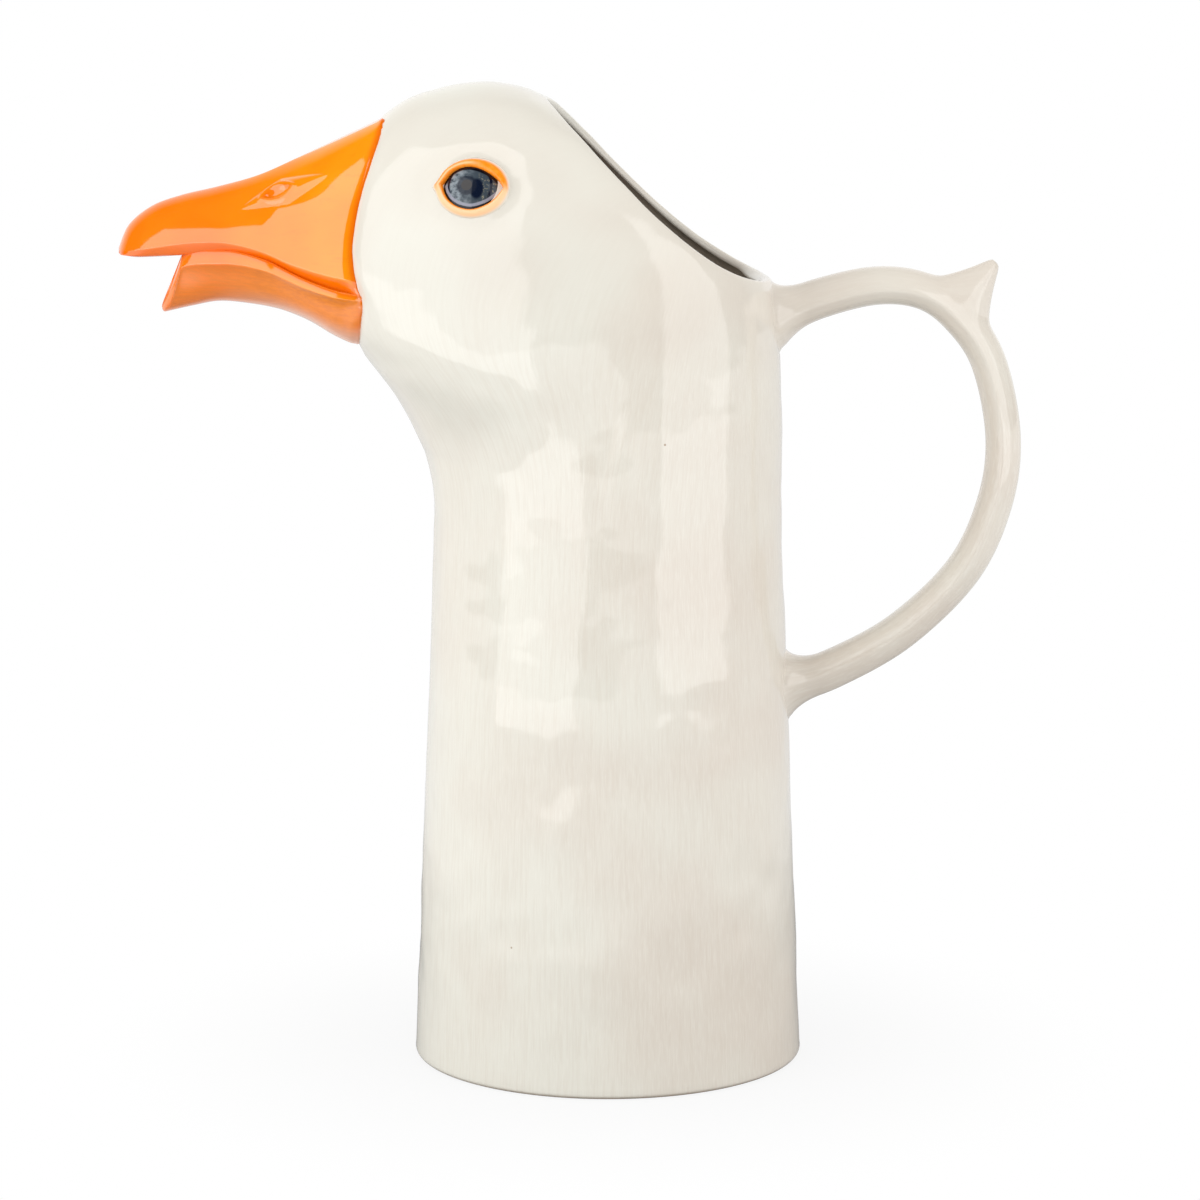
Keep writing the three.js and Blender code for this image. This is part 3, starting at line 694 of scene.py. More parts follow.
def open_for_bill(net):
    """Opens the head where the bill's hollow runs into it; gives the edges of the cut."""
    top, chin = JOINT_LINE[0], JOINT_LINE[-1]
    up = Vector((top[0] - chin[0], 0, top[1] - chin[1])).normalized()
    ahead = Vector((-up.z, 0, up.x))
    point = Vector((chin[0], 0, chin[1])) + ahead * OPENING_AHEAD
    everything = net.verts[:] + net.edges[:] + net.faces[:]
    bmesh.ops.bisect_plane(net, geom=everything, plane_co=point, plane_no=ahead, clear_outer=True)
    cut = [edge for edge in net.edges if edge.is_boundary]
    bmesh.ops.bridge_loops(net, edges=cut)
    return cut


def make_body(material):
    rows, first_inside = body_rows()
    count = len(rows)
    lengths = np.linalg.norm(np.diff(rows, axis=0), axis=-1).mean(axis=1)
    run = np.concatenate([[0], np.cumsum(lengths)])
    flow = unrolled(NECK_TOP_RADIUS, turns(AROUND, 0.5), run)
    # Marks the inside, which the white glaze darkens as painted shade
    inner = (np.arange(count) >= first_inside)[:, None] * np.ones(AROUND)
    points, faces = closed_tube(rows)
    layers = {"flow": with_ends(flow), "inner": with_ends(inner)}
    body = mesh_piece("body", points, faces, material, layers, ["neck_wall", "head_shell"], "white_glaze")
    finish_mesh(body.data, open_for_bill)


def make_foot_disc(material):
    """The unglazed underside, a shallow dish set in the foot's recess."""
    radius = FLOOR_RADIUS - DISC_GAP
    profile = [(0.05 * radius, DISC_TOP), (0.97 * radius, DISC_TOP)]
    profile += [(radius, DISC_TOP - 0.4 * MM), (radius, FOOT_RECESS)]
    for share in (0.99, 0.96, 0.85, 0.65, 0.45, 0.25, 0.05):
        profile.append((share * radius, lerp(DISC_DISH, DISC_EDGE, share)))
    points, faces = closed_tube(rings(profile, turns(DISC_AROUND, 0.5)))
    mesh_piece("foot_disc", points, faces, material, {}, ["base_floor"], "bare_clay")


# Bill: two shells with rolled edges, each made as one side and mirrored

def bill_stations(count):
    root = 0.04 * np.linspace(0, 1, 9)[:-1] ** 1.5
    middle = np.linspace(0.04, 0.9, count)
    tip = 1 - 0.1 * np.linspace(1, 0.06, 40)[1:] ** 2
    return np.concatenate([root, middle, tip])


def section_shares(height, band, band_points, other_points):
    """Shares of each section's height, crowded near the open edge and near the middle line."""
    near = (np.minimum(band, 0.4 * height) / height)[:, None]
    low = near * np.linspace(0, 1, band_points)
    rest = np.sin(np.linspace(0, 1, other_points)[1:] * np.pi / 2)
    return np.concatenate([low, near + (1 - near) * rest], axis=1)


def side_normals(points, facing):
    normals = unit(np.cross(np.gradient(points, axis=1), np.gradient(points, axis=0))) * facing
    normals[:, -1, 1] = 0
    return unit(normals)


def half_section(outer, inner, bulge):
    """One side's section: down the outside, round the open edge and back along the inside."""
    edge = []
    for turn in EDGE_TURNS:
        edge.append(lerp(outer[:, 0], inner[:, 0], turn))
        edge[-1][:, 2] += bulge * math.sin(math.pi * turn)
    return np.concatenate([outer[:, ::-1], np.stack(edge, axis=1), inner], axis=1)


def sink_root(half):
    """Draws the root's section back under the head's skin, to where the two are one wall."""
    middle = half[:1].mean(axis=1, keepdims=True) * np.array([1, 0, 1])
    rows = []
    for share in ROOT_SHARES:
        sunk = middle + (half[:1] - middle) * (1 - ROOT_SHRINK * share)
        rows.append(sunk + np.array([ROOT_DEPTH * share, 0, 0]))
    return np.concatenate(rows + [half])


def whole_bill(half):
    """Points and faces of a bill shell from one side's sections."""
    stations, columns = half.shape[:2]
    mirrored = half[:, -2:0:-1] * np.array([1, -1, 1])
    loops = np.concatenate([half, mirrored], axis=1)
    size = loops.shape[1]
    faces = ring_faces(stations, size)
    for first in (0, (stations - 1) * size):
        for k in range(columns // 2):
            a, b, c, d = k, k + 1, columns - 2 - k, columns - 1 - k
            sides = [(a, b, c, d), tuple((size - i) % size for i in (a, b, c, d))]
            for corners in sides:
                ring = list(dict.fromkeys(first + i for i in corners))
                if len(ring) > 2:
                    faces.append(ring)
    return loops.reshape(-1, 3), faces


def bill_layers(crease, fade, low, added_rows):
    """What the orange glaze is painted by, from values on one side's outside; the inside is even, and darker
    as painted shade.
    """
    layers = {}
    for name, values, inside in (("crease", crease, 0.7), ("fade", fade, 0), ("low", low, 0.3)):
        within = np.full((len(values), values.shape[1] + len(EDGE_TURNS)), inside)
        half = np.concatenate([values[:, ::-1], within], axis=1)
        root = np.repeat(half[:1], len(ROOT_SHARES), axis=0)
        half = np.concatenate([root, half, np.repeat(half[-1:], added_rows, axis=0)])
        layers[name] = np.concatenate([half, half[:, -2:0:-1]], axis=1).ravel()
    return layers


def edge_crease_shade(outer, root, from_edge):
    """Painted shade in the grooves: along the joint at the root and along the open edge."""
    return np.maximum(bell(root[..., 0] - outer[..., 0], JOINT_CREASE), bell(from_edge, EDGE_CREASE))


def nostril_relief(points):
    """A raised almond with long tails, and a lipped pit in its front half; also the pit's outline."""
    seat = upper_bill_line(np.array([NOSTRIL_ALONG]), np.array([NOSTRIL_HEIGHT]))[0]
    offset = points - seat
    lengthways = offset[..., 0] * math.cos(NOSTRIL_SLANT) + offset[..., 2] * math.sin(NOSTRIL_SLANT)
    across = offset[..., 2] * math.cos(NOSTRIL_SLANT) - offset[..., 0] * math.sin(NOSTRIL_SLANT)
    along_share = np.clip(np.abs(lengthways) / NOSTRIL_HALF_LENGTH, 0, 1)
    half = NOSTRIL_HALF_WIDTH * (1 - along_share) ** 0.75 + 0.01 * MM
    swell = np.clip(1 - np.abs(across) / half, 0, 1)
    rise = NOSTRIL_RISE * (1 - (1 - swell) ** 2.4) * (1 - along_share ** 2)
    pit = np.hypot(across, 0.15 * MM) / PIT_HALF_WIDTH + ((lengthways + PIT_FORWARD) / PIT_HALF_LENGTH) ** 2
    lip = NOSTRIL_LIP * bell(pit - 1.35, 0.3)
    return rise + lip - PIT_DEPTH * (1 - smoothstep(pit, 0.1, 1.05)), pit


def joint_dip(outer, root):
    """How far the bill's skin rounds down into the joint at its root; it stands proud at the top."""
    proud = JOINT_TOP_PROUD * bell(JOINT_LINE[0, 1] - root[..., 2], JOINT_TOP_HEIGHT)
    return 0.5 * JOINT_GROOVE * (1 - proud) * bell(root[..., 0] - outer[..., 0], JOINT_WIDTH)


def make_upper_bill(material):
    t = bill_stations(UPPER_STATIONS)
    edge = side_point(along(CUTTING_EDGE, t))
    height = np.linalg.norm(side_point(along(CULMEN, t)) - edge, axis=-1)
    share = section_shares(height, 1.1 * LIP_ROOT_BAND, *UPPER_COLUMNS)
    place = t[:, None] * np.ones_like(share)
    outer = upper_bill_line(place, share)
    root = upper_bill_line(np.zeros_like(share), share)
    roof = bell(place - NOSTRIL_ALONG - ROOF_SHIFT, ROOF_LENGTH)
    arch = np.maximum(0, 1 - share ** lerp(UPPER_ARCH, NOSTRIL_ARCH, roof))
    arch = arch ** lerp(UPPER_SHOULDER, NOSTRIL_SHOULDER, roof)
    width = bill_half_width(root, place, arch, 0)
    above_edge = share * height[:, None]
    forward = smoothstep(place, *LIP_FORWARD)
    band = lerp(lerp(LIP_ROOT_BAND, LIP_BAND, forward), LIP_TIP_BAND, smoothstep(place, *LIP_TIP))
    tuck = lerp(LIP_ROOT_TUCK, LIP_TUCK, forward) * np.clip(1 - above_edge / band, 0, 1)
    tuck *= lerp(LIP_CORNER, 1, smoothstep(place, 0, LIP_CORNER_LENGTH))
    outer[..., 1] = width - tuck * (1 - smoothstep(place, *LIP_END))
    outer[:, -1, 1] = 0
    inner = upper_hollow(outer, edge, place, share)
    relief, pit = nostril_relief(outer)
    normals = side_normals(outer, -1)
    outer = outer + normals * (relief - joint_dip(outer, root))[..., None]
    half = sink_root(half_section(outer, inner, -UPPER_EDGE_ROUND * (1 - smoothstep(t, *EDGE_END))))
    # Painted shade also round the nostril's pit and along the lip band tucked in above the mouth
    crease = np.maximum(edge_crease_shade(outer, root, above_edge), 0.5 * bell(pit - 0.9, 0.25))
    crease = np.maximum(crease, 0.8 * smoothstep(tuck, 0, 0.3 * LIP_TUCK))
    none = np.zeros_like(share)
    layers = bill_layers(crease, none, none, 0)
    nodes = ["upper_bill", "left_nostril", "right_nostril"]
    mesh_piece("upper_bill_shell", *whole_bill(half), material, layers, nodes, "orange_glaze")


def upper_hollow(outer, edge, place, share):
    """The underside of the upper bill: a hollow that runs out towards the solid tip."""
    edge_z = edge[:, 2][:, None]
    opened = 1 - smoothstep(place, HOLLOW_FULL, HOLLOW_END)
    narrowed = np.clip(1 - BILL_WALL / outer[:, :1, 1], 0.3, 1)
    ceiling = np.maximum(0, outer[..., 2] - edge_z - BILL_WALL * share)
    inner = outer.copy()
    inner[..., 1] = outer[..., 1] * lerp(narrowed, 1, share ** 3)
    inner[..., 2] = edge_z + ceiling * opened
    return inner


def make_lower_bill(material):
    t = bill_stations(LOWER_STATIONS)
    rim = side_point(along(LOWER_RIM, t)) + np.array([0, 0, MOUTH_OVERLAP])
    height = np.linalg.norm(side_point(along(KEEL, t)) - rim, axis=-1)
    share = section_shares(height, 1.8 * RIM_STRIP, *LOWER_COLUMNS)
    place = t[:, None] * np.ones_like(share)
    outer = lower_bill_line(place, share)
    outer[..., 2] += MOUTH_OVERLAP * (1 - share) ** 2
    root = lower_bill_line(np.zeros_like(share), share)
    arch = np.sqrt(np.maximum(0, 1 - share ** LOWER_ARCH))
    inset = LOWER_BILL_INSET * (place - 0.5)
    width = bill_half_width(root, place * (KEEL[-1, 0] / CULMEN[-1, 0]), arch, inset)
    strip = lerp(RIM_STRIP_CORNER, RIM_STRIP, smoothstep(place, 0, 0.7))
    below_rim = share * height[:, None]
    from_rim = below_rim / strip
    from_front = (1 - place) * LOWER_BILL_LENGTH / RIM_STRIP_FRONT + 0.15
    from_edge = (np.maximum(from_rim, 0.02) ** -3 + from_front ** -3) ** (-1 / 3)
    bevel = RIM_ROLL * (1.6 * np.minimum(from_edge, 1) - 0.8)
    hollow = SIDE_HOLLOW * (1 - np.exp(-np.maximum(from_edge - 1, 0) / 0.8)) * (1 - share ** 2)
    outer[..., 1] = width + (bevel - hollow) * smoothstep(place, 0, 0.1) * arch
    outer[..., 1] -= CORNER_TUCK * bell(place, CORNER_LENGTH) * bell(below_rim, CORNER_HEIGHT)
    outer[:, -1, 1] = 0
    inner = outer.copy()
    inner[..., 1] = (width - BILL_WALL * (1 - share ** 3) * arch) * 0.98
    inner[:, -1, 1] = 0
    inner[..., 2] += BILL_WALL * share
    outer = outer - side_normals(outer, 1) * joint_dip(outer, root)[..., None]
    half, added = round_front(half_section(outer, inner, LOWER_EDGE_ROUND))
    crease = edge_crease_shade(outer, root, below_rim)
    fade = smoothstep(share, 0.5, 0.95) * (1 - smoothstep(place, 0.1, 0.8))
    # The lower bill's side below the rim strip, darkened: partly brushed hatching, partly painted shade of
    # the hollow side
    low = smoothstep(from_edge, 0.9, 1.3)
    points, faces = whole_bill(sink_root(half))
    layers = bill_layers(crease, fade, low, added)
    mesh_piece("lower_bill_shell", points, faces, material, layers, ["lower_bill"], "orange_glaze")


def round_front(half):
    """Rounds the pouring edge at the front of the lower bill."""
    ahead = unit(half[-1] - half[-8])
    last = half[-1]
    rows = [half]
    for turn in np.linspace(0, math.pi / 2, 6)[1:]:
        pinch = FRONT_PINCH * (1 - math.cos(turn))
        rows.append((lerp(last, last[::-1], pinch) + ahead * FRONT_ROUND * math.sin(turn))[None])
    return np.concatenate(rows), len(rows) - 1


# Eyes

def lid_outline(count):
    """The eye's outline, from the back corner over the top to the front corner and back below."""
    t = np.linspace(0, 1, count // 2 + 1)[:-1]
    return np.concatenate([along(UPPER_LID, t), along(LOWER_LID, t)])


def nearest(places, line):
    """The distance from each place to a line of points."""
    return np.linalg.norm(places[:, None] - line, axis=-1).min(axis=1)


def on_head(seat, lengthways, upward, flat):
    """Points on the head's skin at flat places round a seat."""
    place = seat + flat[..., :1] * lengthways + flat[..., 1:] * upward
    width = head_half_width(place[..., 0], place[..., 2])
    return np.stack([place[..., 0], np.sign(seat[1]) * width, place[..., 2]], axis=-1)


def make_eyelid(name, side, node, material):
    seat, normal, lengthways, upward = eye_seat(side)
    inner = lid_outline(EYE_AROUND)
    angle = np.arctan2(inner[:, 1], inner[:, 0])
    outer = LID_MIDDLE + LID_HALF_SIZE * np.column_stack([np.cos(angle), np.sin(angle)])
    outer[:, 0] -= TEAR_POINT * bell(np.abs(angle) - np.pi, 0.16)
    top = smoothstep(inner[:, 1], -1.5 * MM, 1.5 * MM)
    rise = LID_RISE * lerp(0.75, 1.1, top)[:, None]
    rows = []
    for across, height in LID_PROFILE:
        skin = on_head(seat, lengthways, upward, lerp(inner, outer, across))
        rows.append(skin + normal * rise * height)
    points = np.array(rows).reshape(-1, 3)
    faces = ring_faces(len(rows), EYE_AROUND, True)
    layers = {
        "across": np.repeat([across for across, _ in LID_PROFILE], EYE_AROUND),
        "top": np.tile(top, len(rows)),
        "backward": np.tile(inner[:, 0] / inner[:, 0].max(), len(rows)),
    }
    mesh_piece(name, points, faces, material, layers, [node], "peach_glaze")


def make_eye(name, side, node, material):
    seat, normal, lengthways, upward = eye_seat(side)
    outline = EYE_SPREAD * lid_outline(EYE_AROUND)
    shares = np.linspace(1, 0.02, EYE_ROWS)
    flat = shares[:, None, None] * outline
    bulge = EYE_BULGE - (flat ** 2).sum(axis=-1) / (2 * EYE_RADIUS)
    cap = seat + flat[..., :1] * lengthways + flat[..., 1:] * upward + normal * bulge[..., None]
    rows = np.concatenate([cap[:1] - normal * EYE_SKIRT, cap])
    points, faces = closed_tube(rows)
    places = with_ends(np.concatenate([flat[:1], flat]))
    t = np.linspace(0, 1, 120)
    layers = {
        "eye": np.column_stack([places, np.zeros(len(places))]) / MM,
        "upper_gap": nearest(places, along(UPPER_LID, t)) / MM,
        "lower_gap": nearest(places, along(LOWER_LID, t)) / MM,
    }
    mesh_piece(name, points, faces, material, layers, [node], "slate_glaze")


# Handle: a strap swept round a loop, drawn out into a spur, that flares into the wall

def nape_radius(up):
    late = NAPE_EASE - 1
    t = (NAPE_EASE - np.sqrt(NAPE_EASE ** 2 - 4 * late * up / RIM_BACK_RISE)) / (2 * late)
    return NECK_TOP_RADIUS - RIM_BACK_IN * t ** NAPE_TURN


def strap_middle(t):
    route = along(STRAP_ROUTE, t)
    out, down = route[..., 0], route[..., 1]
    upper = nape_radius(UPPER_ROOT_RISE)
    lower = wall_radius(NECK_HEIGHT + UPPER_ROOT_RISE - HANDLE_SPAN)
    x = lerp(upper, lower, down) + out * HANDLE_REACH
    z = NECK_HEIGHT + UPPER_ROOT_RISE - down * HANDLE_SPAN
    return np.stack([x, np.zeros_like(x), z], axis=-1)


def strap_section():
    """A rounded section with a soft ridge on each side, as shares of half thickness and half width."""
    angle = turns(STRAP_AROUND)
    c, s = np.cos(angle), np.sin(angle)

    def inside(size):
        return np.abs(size * c) ** STRAP_RIDGE + np.abs(size * s) ** 2 <= 1

    size = narrow_down(np.zeros(STRAP_AROUND), np.full(STRAP_AROUND, 2.0), 50, inside)
    thick, wide = size * c, size * s
    return thick - STRAP_RIDGE_SHIFT * wide * wide, wide


def strap_stations(count):
    """Places along the strap, closer together at its roots and at the spur."""
    t = np.linspace(0, 1, 2001)
    crowding = 1 + 3 * bell(t - SPUR_PLACE, 0.06) + 2 * (bell(t, 0.07) + bell(t - 1, 0.07))
    total = np.cumsum(crowding)
    return np.interp(np.linspace(0, 1, count), (total - total[0]) / (total[-1] - total[0]), t)


def draw_spur(points, run, thick, wide):
    """Pulls the strap's outer side up into a thorn."""
    across = 0.9 * np.abs(wide) * STRAP_WIDTH / 2
    reach = (run[:, None] ** SPUR_EDGE + across ** SPUR_EDGE) ** (1 / SPUR_EDGE)
    slim = np.minimum((reach ** 4 + SPUR_TIP ** 4) ** 0.25 / SPUR_FOOT, 1)
    blunt = 1 - (SPUR_TIP / SPUR_FOOT) ** (1 / SPUR_HOLLOW)
    raised = SPUR_LENGTH / blunt * (1 - slim ** (1 / SPUR_HOLLOW)) - 0.5 * STRAP_THICKNESS
    raised = 0.5 * (raised + np.sqrt(raised ** 2 + (1.5 * MM) ** 2))
    raised *= (1 - smoothstep(reach, 0.7 * SPUR_FOOT, SPUR_FOOT)) * smoothstep(thick, 0, 0.6)
    spur_way = np.array([math.cos(SPUR_ANGLE), 0, math.sin(SPUR_ANGLE)])
    return points + spur_way * raised[..., None]


def back_skin(y, z):
    """How far back the body's skin lies, at places across and up."""
    low, high = np.full_like(y, 0.5 * NECK_TOP_RADIUS), np.full_like(y, BASE_RADIUS)
    return narrow_down(low, high, 22, lambda x: body_half_width(x, z) > np.abs(y))


def flare_root(points, middle):
    """Spreads one end of the strap into the wall with a hollow curve."""
    top = NECK_HEIGHT + RIM_BACK_RISE - 0.7 * RIM_ROUND
    skin = back_skin(points[..., 1], np.minimum(points[..., 2], top))
    close = np.clip(1 - (points[..., 0] - skin + ROOT_COVER) / FLARE_LENGTH, 0, 1)
    out = points - middle[:, None]
    out[..., 0] *= 1 - close
    out = unit(out)
    width = FLARE_WIDTH - FLARE_DROP * out[..., 2]
    grown = points + out * (width * (1 - np.sqrt(1 - close ** 2)))[..., None]
    grown[..., 2] = np.where(close > 0, np.minimum(grown[..., 2], top), grown[..., 2])
    new_skin = back_skin(grown[..., 1], np.minimum(grown[..., 2], top))
    grown[..., 0] = np.maximum(grown[..., 0] + (new_skin - skin) * close ** 2, new_skin - ROOT_SINK)
    return grown


def run_on(section):
    """Copies of an end's section that carry it straight on, into the wall, the farthest first."""
    steps = np.linspace(ROOT_RUN, 0, 13, endpoint=False)
    return section - np.multiply.outer(steps, np.array([1, 0, 0]))[:, None]


def make_handle(material):
    t = strap_stations(STRAP_ROWS)
    middle = strap_middle(t)
    way = unit(np.gradient(middle, axis=0))
    outward = np.stack([-way[:, 2], np.zeros(len(t)), way[:, 0]], axis=-1)
    length = np.concatenate([[0], np.cumsum(np.linalg.norm(np.diff(middle, axis=0), axis=-1))])
    thick, wide = strap_section()
    half = (STRAP_THICKNESS + STRAP_ROOT_EXTRA * (2 * t - 1) ** 2) / 2
    points = middle[:, None] + outward[:, None] * (thick[:, None] * half[:, None, None])
    points[..., 1] = wide * STRAP_WIDTH / 2
    points = draw_spur(points, np.abs(length - np.interp(SPUR_PLACE, t, length)), thick, wide)
    rows = np.concatenate([run_on(points[0]), points, run_on(points[-1])[::-1]])
    added = (len(rows) - len(t)) // 2
    middle = np.concatenate([run_on(middle[:1])[:, 0], middle, run_on(middle[-1:])[::-1, 0]])
    runs = np.pad(length, added, mode="edge")
    place = runs / length[-1]
    for end in (place < UPPER_FLARE_END, place > LOWER_FLARE_START):
        rows[end] = flare_root(rows[end], middle[end])
    flow = unrolled(STRAP_WIDTH / 6, turns(STRAP_AROUND), runs)
    layers = {"flow": with_ends(flow), "inner": np.zeros(rows.shape[0] * rows.shape[1] + 2)}
    nodes = ["handle_strap", "thumb_spur", "upper_luting_coil", "lower_luting_coil"]
    mesh_piece("handle", *closed_tube(rows), material, layers, nodes, "white_glaze")


# Materials

class Nodes:
    """A tree of nodes and short ways to add to it."""

    def __init__(self, tree):
        self.tree = tree

    def put(self, socket, value):
        if isinstance(value, bpy.types.NodeSocket):
            self.tree.links.new(value, socket)
        elif isinstance(value, tuple) and len(value) == 3 and socket.type == "RGBA":
            socket.default_value = (*value, 1)
        else:
            socket.default_value = value

    def node(self, kind, inputs, output=0, **settings):
        """Adds a node with these inputs and settings, and gives one of its outputs."""
        node = self.tree.nodes.new("ShaderNode" + kind)
        for key, value in settings.items():
            setattr(node, key, value)
        for key, value in inputs.items():
            self.put(node.inputs[key], value)
        return node.outputs[output]

    def layer(self, name, output="Fac"):
        return self.node("Attribute", {}, output, attribute_name=name)

    def position(self):
        return self.node("TexCoord", {}, "Object")

    def axes(self, vector):
        node = self.tree.nodes.new("ShaderNodeSeparateXYZ")
        self.put(node.inputs[0], vector)
        return node.outputs

    def rays(self):
        """What looks straight or through clear things, and what looks by way of a gloss."""
        path = self.tree.nodes.new("ShaderNodeLightPath").outputs
        seen = self.math("MAXIMUM", path["Is Camera Ray"], path["Is Transmission Ray"])
        return seen, path["Is Glossy Ray"]

    def math(self, operation, a, b=0.0, clamp=False):
        return self.node("Math", {0: a, 1: b}, operation=operation, use_clamp=clamp)

    def times(self, *values):
        product = values[0]
        for value in values[1:]:
            product = self.math("MULTIPLY", product, value)
        return product

    def scaled(self, vector, scale):
        return self.node("Mapping", {"Vector": vector, "Scale": scale}, "Vector")

    def noise(self, vector, scale, detail=2.0, roughness=0.5):
        inputs = {"Vector": vector, "Scale": scale, "Detail": detail, "Roughness": roughness}
        return self.node("TexNoise", inputs, "Fac")

    def spots(self, vector, scale):
        return self.node("TexVoronoi", {"Vector": vector, "Scale": scale}, "Distance")

    def ramp(self, value, low, high, start=0.0, end=1.0, curve="SMOOTHSTEP"):
        """A step of a value, from start at low to end at high."""
        inputs = {"Value": value, "From Min": low, "From Max": high, "To Min": start, "To Max": end}
        return self.node("MapRange", inputs, "Result", interpolation_type=curve)

    def mix(self, share, a, b):
        return self.node("Mix", {0: share, 6: a, 7: b}, 2, data_type="RGBA")

    def bump(self, height, distance, **normal):
        return self.node("Bump", {"Height": height, "Distance": distance, **normal}, "Normal")

    def ellipse(self, x, y, middle, radii):
        """The distance from a middle, 1 on an ellipse round it."""
        across = self.math("DIVIDE", self.math("SUBTRACT", x, middle[0]), radii[0])
        up = self.math("DIVIDE", self.math("SUBTRACT", y, middle[1]), radii[1])
        square = self.math("ADD", self.times(across, across), self.times(up, up))
        return self.math("SQRT", square)


class Glaze(Nodes):
    """A glossy material, painted coat over coat."""

    def __init__(self, name, refraction, colour):
        self.material = bpy.data.materials.new(name)
        self.material.use_nodes = True
        super().__init__(self.material.node_tree)
        self.shader = self.tree.nodes["Principled BSDF"].inputs
        self.shader["IOR"].default_value = refraction
        self.colour = colour

    def coat(self, colour, *shares):
        """Paints over the coats so far, as strongly as all the shares together."""
        self.colour = self.mix(self.times(*shares), self.colour, colour)

    def finish(self, **values):
        self.put(self.shader["Base Color"], self.colour)
        for key, value in values.items():
            self.put(self.shader[key], value)
        return self.material


def white_glaze():
    g = Glaze("white_glaze", WHITE_REFRACTION, CREAM)
    place = g.position()
    x, _, z = g.axes(place)
    flow = g.layer("flow", "Vector")
    lines = g.noise(g.scaled(flow, (1000, 1000, 40)), 1.9, 2, 0.55)
    fine = g.noise(g.scaled(flow, (1000, 1000, 70)), 4.2, 1, 0.5)
    cloud = g.noise(place, 26, 2, 0.5)
    # Darker, warmer cream: in clouds it is the glaze's own uneven tone; the ramp towards the right side (+x)
    # is painted shade of the side away from the key light
    tone_and_shade = g.math("ADD", g.ramp(x, -0.045, 0.05, 0.05, 0.8), g.ramp(cloud, 0.35, 0.68, -0.3, 0.3), True)
    g.coat(WARM_CREAM_AND_SHADE, tone_and_shade)
    brushed = g.ramp(z, 0.16, 0.215, 1.0, 0.15)
    g.coat(BRUSH_SHADE, g.ramp(lines, 0.42, 0.66), brushed, 0.14)
    g.coat(BRUSH_LIGHT, g.ramp(fine, 0.46, 0.7), brushed, 0.2)
    g.coat(IRON_SPECK, g.ramp(g.spots(place, 46), 0.010, 0.017, 0.75, 0.0))
    # A thin dark line at the very foot: partly the bare clay edge where the glaze stops, partly painted
    # contact shadow
    g.coat(FOOT_EDGE_AND_SHADOW, g.ramp(z, 0.0002, 0.0011, 0.8, 0.0))
    # Painted shade: the whole inside darkened towards brown, for the shade deep in the jug
    g.coat(INSIDE_SHADE, g.layer("inner"), 0.75)
    uneven = g.bump(g.noise(place, 95, 1), 0.0002, Normal=g.bump(lines, 0.00002))
    return g.finish(Roughness=g.ramp(cloud, 0.3, 0.7, *GLOSS), Normal=uneven)


def orange_glaze():
    g = Glaze("orange_glaze", ORANGE_REFRACTION, BILL_ORANGE)
    place = g.position()
    cloud = g.noise(place, 55, 2, 0.5)
    streaks = g.noise(g.scaled(place, (60, 700, 700)), 1.0, 3, 0.6)
    hatching = g.noise(g.scaled(place, (90, 1500, 1500)), 1.0, 3, 0.6)
    x, _, _ = g.axes(place)
    amber = g.math("ADD", g.ramp(x, -0.105, -0.068, 0.0, 0.8), g.ramp(cloud, 0.3, 0.7, -0.2, 0.2), True)
    g.coat(BILL_AMBER, amber)
    g.coat(BILL_STREAK, g.ramp(streaks, 0.52, 0.78), 0.3)
    # Painted shade: darker orange in the grooves, round the nostril's pit, on the tucked lip band and inside
    # the bill
    g.coat(BILL_CREASE_SHADE, g.layer("crease"), 0.8)
    # Darker orange on the lower side and inside: the hatching noise is brushwork; the even darkening under it
    # is painted shade
    g.coat(BILL_HATCHING_AND_SHADE, g.layer("low"), g.ramp(hatching, 0.35, 0.65, 0.45, 0.85))
    g.coat(CHIN_PINK, g.layer("fade"), 0.85)
    uneven = g.bump(g.noise(place, 120, 1), 0.00007)
    return g.finish(Roughness=g.ramp(cloud, 0.3, 0.7, *GLOSS), Normal=uneven)


def peach_glaze():
    g = Glaze("peach_glaze", PAINT_REFRACTION, UPPER_LID_ORANGE)
    across, top, backward = g.layer("across"), g.layer("top"), g.layer("backward")
    strokes = g.noise(g.position(), 1100, 3, 0.6)
    g.coat(UPPER_LID_STROKES, g.ramp(strokes, 0.35, 0.7))
    # Painted highlight: a pale line along the crest of the upper lid, strongest towards its front
    painted_highlight = g.times(g.ramp(across, 0.2, 0.35), g.ramp(across, 0.62, 0.42), g.ramp(backward, 0.3, -0.2))
    g.coat(UPPER_LID_HIGHLIGHT, painted_highlight, 0.7)
    lower = g.mix(g.ramp(across, 0.12, 0.34), LOWER_LID_ORANGE, LOWER_LID_PEACH)
    g.colour = g.mix(top, lower, g.colour)
    g.coat(LID_HEM, g.ramp(across, 0.72, 1.0))
    return g.finish(Roughness=0.14)


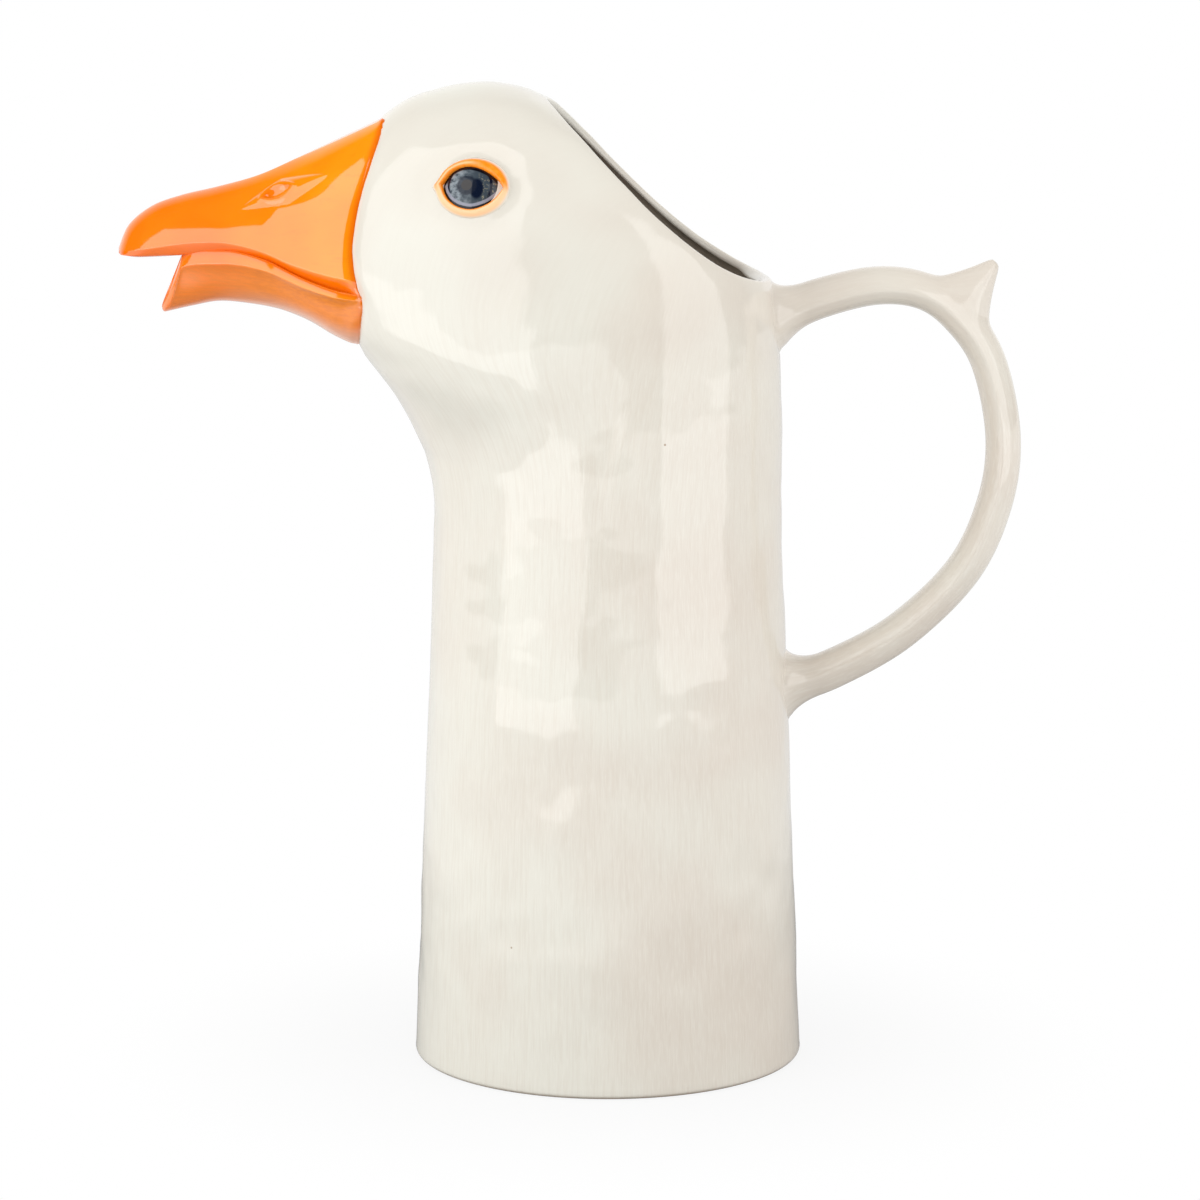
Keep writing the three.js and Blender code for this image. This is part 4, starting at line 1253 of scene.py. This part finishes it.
def eye_glaze():
    g = Glaze("eye_glaze", PAINT_REFRACTION, EYE_SLATE)
    eye = g.layer("eye", "Vector")
    x, y, _ = g.axes(eye)
    upper_gap, lower_gap = g.layer("upper_gap"), g.layer("lower_gap")
    swirl = g.noise(g.scaled(eye, (0.55, 0.8, 1)), 1.0, 4, 0.62)
    g.coat(EYE_GREY, g.ramp(swirl, 0.35, 0.62), g.ramp(x, 2.0, -3.0))
    g.coat(EYE_FLECKS, g.ramp(g.noise(eye, 1.5, 3, 0.6), 0.54, 0.66), g.ramp(x, 1.8, 3.2), 0.8)
    g.coat(EYE_PATCH, g.ramp(g.ellipse(x, y, (2.1, -0.7), (1.6, 2.5)), 1.15, 0.8))
    pupil = g.ellipse(x, y, (-0.4, 0.0), (1.0, 1.0))
    g.coat(PUPIL_RING, g.ramp(pupil, 2.8, 2.1, 0.0, 0.85))
    g.coat(PUPIL, g.ramp(pupil, 1.5, 1.2))
    iris = g.ellipse(x, y, (0.1, 0.0), (5.6, 6.2))
    g.coat(IRIS_ARC, g.ramp(iris, 0.86, 0.91), g.ramp(iris, 1.02, 0.97), g.ramp(y, -3.2, -1.5))
    g.coat(EYE_WATER, g.ramp(lower_gap, 0.45, 0.6), g.ramp(lower_gap, 1.25, 1.05))
    g.coat(EYE_OUTLINE, g.math("MAXIMUM", g.ramp(lower_gap, 0.55, 0.4), g.ramp(upper_gap, 0.75, 0.5)))
    return g.finish(Roughness=0.05)


def bare_clay():
    g = Glaze("bare_clay", PAINT_REFRACTION, CLAY)
    place = g.position()
    grain = g.noise(place, 1400, 3, 0.6)
    g.coat(PALE_CLAY, g.ramp(g.noise(place, 60, 2, 0.5), 0.3, 0.7))
    g.coat(CLAY_GRAIN, g.ramp(grain, 0.55, 0.8), 0.4)
    return g.finish(Roughness=0.85, Normal=g.bump(grain, 0.0003))


# Stage, light and camera

def floor_material():
    """Pale and matt, white to the eye away from the jug's shadow, and softer in the glaze."""
    material = bpy.data.materials.new("floor")
    material.use_nodes = True
    g = Nodes(material.node_tree)
    nodes = g.tree.nodes
    nodes.remove(nodes["Principled BSDF"])
    seen, mirrored = g.rays()
    x, y, _ = g.axes(g.position())
    away = g.ellipse(x, y, (0, 0), (1, 1))
    in_glaze = g.ramp(away, *NEAR_FLOOR, NEAR_FLOOR_MIRRORED, FAR_FLOOR_MIRRORED)
    matt = g.node("BsdfDiffuse", {"Color": FLOOR_GREY})
    glow = g.node("Emission", {"Strength": g.math("MAXIMUM", seen, g.times(mirrored, in_glaze))})
    bright = g.times(g.math("MAXIMUM", seen, mirrored), g.ramp(away, *SHADOW_SPAN, SHADOW_GLOW, 1.0))
    g.put(nodes["Material Output"].inputs["Surface"], g.node("MixShader", {0: bright, 1: matt, 2: glow}))
    return material


def make_floor():
    mesh = bpy.data.meshes.new("floor")
    corners = [(x * FLOOR_REACH, y * FLOOR_REACH, 0) for x, y in ((-1, -1), (1, -1), (1, 1), (-1, 1))]
    mesh.from_pydata(corners, [], [(0, 1, 2, 3)])
    mesh.materials.append(floor_material())
    add_object("floor", mesh)


def make_world():
    """A white backdrop, a dim room in front of the jug, and a low light that comes mostly from above."""
    world = bpy.data.worlds.new("studio")
    bpy.context.scene.world = world
    world.use_nodes = True
    g = Nodes(world.node_tree)
    seen, mirrored = g.rays()
    x, y, z = g.axes(g.node("TexCoord", {}, "Generated"))
    sky = g.ramp(z, *SKY_SPAN, SKY_LOW, SKY_HIGH, "LINEAR")
    left = g.ramp(x, *LEFT_SPAN, LEFT_GLOW, 0.0, "LINEAR")
    right = g.ramp(x, *RIGHT_SPAN, 0.0, RIGHT_GLOW, "LINEAR")
    even = g.math("MAXIMUM", g.math("MAXIMUM", sky, left), right)
    room = g.ramp(y, *BACKDROP_SPAN, FRONT_GLOW, 1.0, "LINEAR")
    lit = g.node("Mix", {0: mirrored, 2: even, 3: room})
    background = g.tree.nodes["Background"].inputs
    g.put(background["Color"], (1, 1, 1))
    g.put(background["Strength"], g.math("MAXIMUM", lit, seen))


def make_softbox(name, azimuth, low, high, width):
    """An upright soft light, at an azimuth from the camera's side, that faces the jug."""
    light = bpy.data.lights.new(name, "AREA")
    light.shape = "RECTANGLE"
    light.size, light.size_y = width, high - low
    light.energy = SOFTBOX_RADIANCE * math.pi * width * (high - low)
    lamp = add_object(name, light)
    turn = math.radians(azimuth)
    x, y = math.sin(turn) * SOFTBOX_DISTANCE, -math.cos(turn) * SOFTBOX_DISTANCE
    lamp.location = (x, y, (low + high) / 2)
    lamp.rotation_euler = (math.pi / 2, 0, turn)
    lamp.visible_camera = False


def make_camera():
    camera = add_object("camera", bpy.data.cameras.new("camera"))
    camera.data.lens = LENS
    camera.data.sensor_width = 36
    camera.location = CAMERA_PLACE
    camera.rotation_euler = (math.pi / 2 - CAMERA_PITCH, 0, 0)
    bpy.context.scene.camera = camera


def main():
    bpy.context.scene.view_settings.view_transform = "Standard"
    white, orange, peach, slate = white_glaze(), orange_glaze(), peach_glaze(), eye_glaze()
    make_body(white)
    make_foot_disc(bare_clay())
    make_handle(white)
    make_upper_bill(orange)
    make_lower_bill(orange)
    for name, side in (("left", -1), ("right", 1)):
        make_eyelid(name + "_lid", side, name + "_eyelid", peach)
        make_eye(name + "_eyeball", side, name + "_eye", slate)
    make_floor()
    make_world()
    make_softbox("left_softbox", **LEFT_SOFTBOX)
    make_softbox("right_softbox", **RIGHT_SOFTBOX)
    make_camera()


main()
